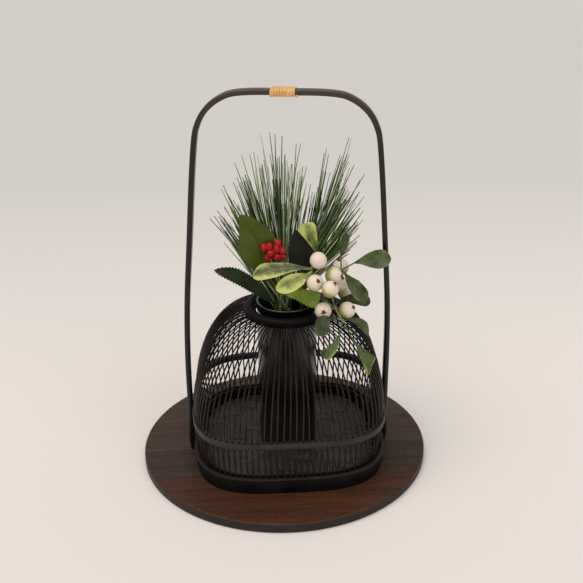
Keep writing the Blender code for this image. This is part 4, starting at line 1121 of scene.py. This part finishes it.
buds = [from_rim(*bud) for bud in LEAFY_BUDS]
foot = foot_of("leafy_stem", *LEAFY_FOOT, STEM_LIFT)
parts = [rod_between("stem", start, end, STEM_RADIUS, 3) for start, end in ((foot, buds[0]), buds)]
parts += [node_ball("node", bud, NODE_RADIUS) for bud in buds]
fitted(joined("leafy_stem_green", parts), "flowers", "green_stem", green_stem, "leafy_stem")
for name, bud, *shape, dye in TOOTHED_LEAVES:
    material, slot = leaf_dyes[dye]
    fitted(leaf("toothed_" + name, buds[bud], *shape, toothed=True), "flowers", slot, material,
           name)


# The red berries.
# Nine small beads crowded round the knob of one stalk, like a holly cluster, with the green
# end of the stalk showing above them.

RED_RADIUS = 0.0038
RED_KNOB_RADIUS = 0.0046
RED_MIDDLE = (-12.5, -18, 59.5)
# Each bead's place from the knob, to the right, back and up, in steps of this many millimetres.
RED_SPACING = 6.6
RED_STEPS = (
    (-1.45, 0, 0.55), (-0.7, -0.3, 0.8), (0.55, 0, 1.25), (0.36, -0.4, 0.4),
    (-0.56, -0.4, -0.24), (1.2, -0.1, 0), (-0.9, 0, -1), (0.4, -0.3, -0.86),
    (1.15, 0, -0.95))
DIMPLE_START, DIMPLE_DEPTH = 0.9, 0.0005
STUB_RADIUS = 0.0006
STUB_START, STUB_END = Vector((0, 0, 0.002)), Vector((0.0012, -0.001, 0.0135))
# Dipped red lacquer beads: saturated, with a soft highlight.
red_bead = plain("red_lacquer_beads", 260, 2, ((0.3, "#8C0009"), (0.7, "#C00A15")), 0.38, 0.4)

middle = from_rim(*RED_MIDDLE)
beads = [node_ball("knob", middle, RED_KNOB_RADIUS)]
for place in RED_STEPS:
    step = Vector(place) * RED_SPACING / 1000
    bead = node_ball("bead", middle + step, RED_RADIUS)
    pole = step.normalized()
    for corner in bead.data.vertices:
        if (corner.co - middle - step).normalized().dot(pole) > DIMPLE_START:
            corner.co -= pole * DIMPLE_DEPTH
    beads.append(bead)
fitted(joined("red_berry_cluster", beads), "flowers", "red_berry", red_bead, "red_berries")
seat = buds[1] + (middle - buds[1]).normalized() * (NODE_RADIUS + CLEARANCE)
stalk = rod_between("red_berry_stalk", seat, middle, STALK_RADIUS)
fitted(stalk, "flowers", "green_stem", green_stem)
stub = rod_between("red_berry_stub", middle + STUB_START, middle + STUB_END, STUB_RADIUS)
fitted(stub, "flowers", "green_stem", green_stem)


# The berry sprig.
# A branching green stem with spoon-shaped leaves of pale-edged cloth and cream beads, each
# bead with a brown star of dried petals at its far end. It spills over the rim to the right.

SPRIG_FOOT = (7, -3)
SPRIG_CROTCH = (25, -12, 7.65)
SPRIG_BUDS = ((25, -12, 10.2), (24, -17, 39.3), (54, -12, 34.7), (46, -31, 2.55),
              (53, -42, -7.65))
SPRIG_BRANCHES = ((0, 1), (0, 2), (0, 3), (3, 4))
CREAM_RADIUS = 0.0084
STAR_RADIUS = 0.003
STAR_PETALS = 5
PETAL_RADIUS = 0.0007
PETAL_LIFT = 0.0002
PETAL_GIRTHS = (1, 0.9, 0.4)
CROTCH_GIRTH, BRANCH_GIRTH = 1.5, 1.4
STALK_SEAT, STAR_SEAT, STAR_HEART = 0.98, 0.965, 0.6
# A bead's tone where it has no blush, what a full blush takes off, and what the painted shade on
# the underside takes off. Then where the blush starts from a star in front, and its strength by
# the stalk.
BLUSH_NONE, BLUSH_FULL, UNDERSIDE_SHADE = 0.64, 0.85, 0.22
BLUSH_START, STALK_BLUSH, BLUSH_BEND = 0.5, 0.8, 1.2
# Each bead is a little slimmer round its waist, and pulled in at the star.
POLE_START, POLE_PULL, BEAD_SLIM = 0.93, 0.03, 0.015
LEAST_DEPTH = 0.02
BEADS_MIDDLE = (40, -25, 20)
# For each bead: the bud it hangs from, where the camera sees its star, in shares of the bead's
# radius to the right and up, and -1 for a star on the far side.
CREAM_BERRIES = (
    (1, (-0.5, 0.5), -1), (2, (0.95, -0.1), 1), (1, (0.4, 0.2), 1), (3, (0.55, 0.66), 1),
    (2, (0.3, 0.8), 1), (3, (0.06, -0.15), 1), (3, (0.76, 0.34), 1), (2, (-0.2, 0.82), 1),
    (0, (0.3, -0.8), -1))
SPOON_LEAVES = (
    ("upper", 1, (30, -10, 53.5), (18, -6, 83), (0.35, -1, 0.25), 0.1, -1.5, 0.45,
     ((0, 0.8, 0.8), (0.15, 2, 2.2), (0.3, 3.4, 4.2), (0.5, 5.2, 6.2), (0.7, 7.6, 7.6),
      (0.82, 9.2, 8.4), (0.92, 10.4, 7.6), (0.97, 9.6, 5.2), (1, 6, 1.2)), "golden"),
    ("long_left", 1, (23.7, -23, 41.3), (-34, -36, 41), (0.1, -1, 0.35), 0.08, 4, 0.25,
     ((0, 0.8, 0.8), (0.2, 1.7, 2.3), (0.45, 4.8, 5.3), (0.64, 6.9, 6.9), (0.8, 6.9, 8.8),
      (0.88, 6.2, 8.6), (0.94, 5.2, 6.4), (0.98, 3.2, 3.2), (1, 1, 0.8)), "pale"),
    ("short_left", 1, (23.4, -27, 40), (-12, -40, 28), (0.1, -1, 0.4), 0.1, 0, 0.25,
     ((0, 0.8, 0.8), (0.17, 3, 1.2), (0.36, 7, 5.2), (0.55, 8.6, 7.4), (0.7, 8.8, 7.5),
      (0.82, 8, 6.6), (0.92, 6, 4.5), (0.98, 3.6, 2.4), (1, 1, 0.8)), "bright"),
    ("right", 2, (66, -23, 46.6), (100, -34, 54.2), (0, -1, 0.4), 0.08, 0, 0.22,
     ((0, 0.8, 0.8), (0.12, 2.8, 1.6), (0.24, 4.9, 3), (0.45, 8.4, 6.2), (0.65, 10, 8.5),
      (0.78, 10, 8), (0.88, 8.6, 6.6), (0.95, 6, 4.5), (0.99, 2.8, 2.2), (1, 0.8, 0.8)),
     "grey"),
    ("right_upright", 2, (54.5, -4, 46), (59, -2, 71), (0.3, -1, 0.2), 0.06, 0, 0.15,
     ((0, 0.8, 0.8), (0.2, 2.5, 2.5), (0.45, 4.4, 4.4), (0.7, 5, 5), (0.88, 4, 4),
      (0.96, 2.4, 2.4), (1, 0.8, 0.8)), "deep"),
    ("right_drooping", 2, (55.5, -20, 36.5), (77, -27, 7.2), (-0.2, -1, 0.2), 0.08, 0, 0.25,
     ((0, 0.8, 0.8), (0.12, 1.6, 1.8), (0.24, 4, 3.4), (0.42, 7.4, 5.2), (0.6, 8.6, 6.3),
      (0.75, 8.6, 6.6), (0.87, 7.2, 5.6), (0.95, 5, 3.8), (1, 1.5, 1.2)), "grey"),
    ("right_low", 3, (50, -17, 3), (83.5, -15, 0.5), (-0.1, -1, 0.5), 0.06, 0, 0.2,
     ((0, 0.8, 0.8), (0.1, 3, 0.5), (0.3, 6.5, 1.2), (0.5, 8.5, 2.5), (0.7, 8, 4.2),
      (0.85, 7, 4.8), (0.93, 5.5, 4), (0.98, 3.5, 2.5), (1, 1, 1)), "dull"),
    ("right_under", 4, (57, -33, -9.6), (80, -30, -30.5), (0.2, -1, 0.5), 0.06, -5.5, 0.3,
     ((0, 0.8, 0.8), (0.2, 2.6, 2.4), (0.46, 4.4, 4.2), (0.65, 4.8, 4.6), (0.8, 3.9, 3.7),
      (0.92, 2.2, 2.2), (1, 0.4, 0.4)), "grey"),
    ("under_berry", 4, (34, -52, 4), (29.3, -62, -12.8), (0, -1, 0.3), 0.06, 0, 0.15,
     ((0, 1.5, 1.5), (0.1, 4.8, 5.6), (0.25, 6.3, 7.8), (0.6, 6.6, 7.9), (0.8, 6.2, 6.9),
      (0.92, 4.6, 5), (0.98, 2.6, 2.8), (1, 1, 1)), "dull"),
    ("hanging_left", 4, (48.6, -60, -11.5), (30.3, -78, -27.5), (0, -1, 0.05), 0.06, 0, 0.3,
     ((0, 0.6, 0.6), (0.15, 2, 0.6), (0.33, 4.3, 0.9), (0.5, 5.6, 1.9), (0.64, 6.2, 3),
      (0.77, 6.3, 4.2), (0.9, 6, 5.6), (0.97, 5.6, 6.6), (1, 3.5, 4.2)), "deep"),
    ("hanging_right", 4, (61.5, -65, -19), (74.7, -78, -48.2), (0.1, -1, 0.6), 0.05, -3.3, 0.35,
     ((0, 0.6, 0.6), (0.15, 1.8, 1.8), (0.3, 3.2, 4.2), (0.465, 5.9, 4.9), (0.62, 9, 4.6),
      (0.7, 7.6, 4.3), (0.78, 4.6, 3.8), (0.9, 2.6, 2.4), (1, 0.6, 0.6)), "deep"),
)
spoon_dyes = {
    # Grey-green cloth, mottled, bleached yellow-green along its edge and at its end.
    "pale": cloth_leaf("bleached_cloth_leaf", "#596245", "#84885C", "#C4CA72", 0.48, "#8E9668",
                       0.7, 85, one_side=-0.3),
    # Yellow-green with a grey-green patch towards the stalk.
    "bright": cloth_leaf("yellow_cloth_leaf", "#707A4A", "#9AA05C", "#C6C870", 0.56, "#93A062",
                         0.6, 60),
    # Yellow-green, browner in its fold.
    "golden": cloth_leaf("golden_cloth_leaf", "#4C582E", "#788246", "#BCC06E", 0.5, "#A3AF66",
                         0.5, 60),
    # Dull grey-green with a thin paler edge.
    "grey": cloth_leaf("grey_cloth_leaf", "#3C4728", "#5C6640", "#848960", 0.14, "#6E7A58",
                       0.6, 95, 0.42),
    # The same grey cloth painted darker, a painted shade for the leaves that hang in the shade of
    # the beads.
    "dull": cloth_leaf("shaded_grey_cloth_leaf", "#313922", "#4A5230", "#747A56", 0.14, "#5E6846",
                       0.6, 95, 0.42),
    # Fuller green with a pale yellow end.
    "deep": cloth_leaf("green_cloth_leaf", "#2F4026", "#526438", "#9BA65E", 0.26, "#6F8A4C",
                       0.5, 75, 0.42),
}

# Cream beads: matt ivory with a green blush away from the star, or on the side of the stalk where
# the star is behind, and a painted shade that makes them duller underneath.
ivory, tree = new_material("ivory_beads")
blush = add_node(tree, "Attribute", {"attribute_name": "blush"}), "Fac"
mottle = maths(tree, "MULTIPLY_ADD", noise(tree, 240, 4), 0.24, blush)
finish(tree, toned(tree, mottle, (0.14, "#A5A25E"), (0.36, "#CCC294"), (0.6, "#E4D3BD"),
                   (0.9, "#EBDCCB")), roughness=0.42, glint=0.35)
# Dried petals: torn brown scraps.
dried = plain("dried_petals", 1500, 2, ((0.3, "#4A2012"), (0.7, "#8A4A26")), 0.8)

buds = [from_rim(*bud) for bud in SPRIG_BUDS]
crotch = from_rim(*SPRIG_CROTCH)
stem = rod_between("sprig_main_stem", foot_of("sprig_stem", *SPRIG_FOOT, STEM_LIFT), crotch,
                   STEM_RADIUS, 3)
fitted(stem, "flowers", "green_stem", green_stem, "sprig_stem")

toward = (Vector(CAMERA_PLACE) - from_rim(*BEADS_MIDDLE)).normalized()
parts = [node_ball("node", bud, NODE_RADIUS) for bud in buds]
parts.append(rod_between("branch", crotch, buds[0], STALK_RADIUS * CROTCH_GIRTH))
parts += [rod_between("branch", buds[start], buds[end], STALK_RADIUS * BRANCH_GIRTH)
          for start, end in SPRIG_BRANCHES]
for number, (bud, (aside, rise), side) in enumerate(CREAM_BERRIES, 1):
    node = f"cream_berry_{number}"
    low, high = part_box(node)
    centre = (low + high) / 2
    way = (centre - buds[bud]).normalized()
    parts.append(rod_between("stalk", buds[bud], centre - way * (CREAM_RADIUS * STALK_SEAT),
                             STALK_RADIUS))
    depth = math.sqrt(max(1 - aside ** 2 - rise ** 2, LEAST_DEPTH)) * side
    star_way = (toward * depth + right * aside + above * rise).normalized()
    bead = added(f"cream_bead_{number}", bpy.ops.mesh.primitive_uv_sphere_add, segments=40,
                 ring_count=24, radius=CREAM_RADIUS, location=centre,
                 rotation=star_way.to_track_quat("Z", "Y").to_euler())
    bpy.ops.object.transform_apply()
    shades = []
    for corner in bead.data.vertices:
        outward = (corner.co - centre).normalized()
        facing = outward.dot(star_way)
        green = BLUSH_START - facing if side > 0 else outward.dot(-way) * STALK_BLUSH
        # The dyed blush, less a painted shade on the underside.
        shades.append(BLUSH_NONE - BLUSH_FULL * max(green, 0) ** BLUSH_BEND
                      - UNDERSIDE_SHADE * max(-outward.z, 0))
        pull = POLE_PULL * max(0, (facing - POLE_START) / (1 - POLE_START)) ** 2
        corner.co = centre + outward * CREAM_RADIUS * (1 - BEAD_SLIM * (1 - abs(facing)) - pull)
    write_points(bead, "blush", shades)
    bpy.ops.object.shade_smooth()
    fitted(bead, "flowers", "cream_berry", ivory, node)
    tip = centre + star_way * CREAM_RADIUS * STAR_SEAT
    level_way = star_way.orthogonal().normalized()
    other_way = star_way.cross(level_way)
    scraps = [node_ball("scrap", tip, STAR_RADIUS * STAR_HEART)]
    for petal in range(STAR_PETALS):
        turn = 2 * math.pi * petal / STAR_PETALS + number
        out = (level_way * math.cos(turn) + other_way * math.sin(turn)) * STAR_RADIUS
        line = [tip, tip + out * 0.5 + star_way * PETAL_LIFT,
                tip + out * (0.8 + 0.2 * math.cos(3 * turn))]
        scraps.append(rods("scrap", [line], PETAL_RADIUS, 1, PETAL_GIRTHS))
    fitted(joined(f"cream_bead_star_{number}", scraps), "flowers", "cream_berry", dried)
fitted(joined("sprig_green_branches", parts), "flowers", "green_stem", green_stem,
       "sprig_branches")

for name, bud, *shape, dye in SPOON_LEAVES:
    fitted(leaf("spoon_" + name, buds[bud], *shape), "flowers",
           "spoon_leaf" if dye in ("grey", "deep") else "pale_leaf", spoon_dyes[dye],
           "spoon_leaf_" + name)
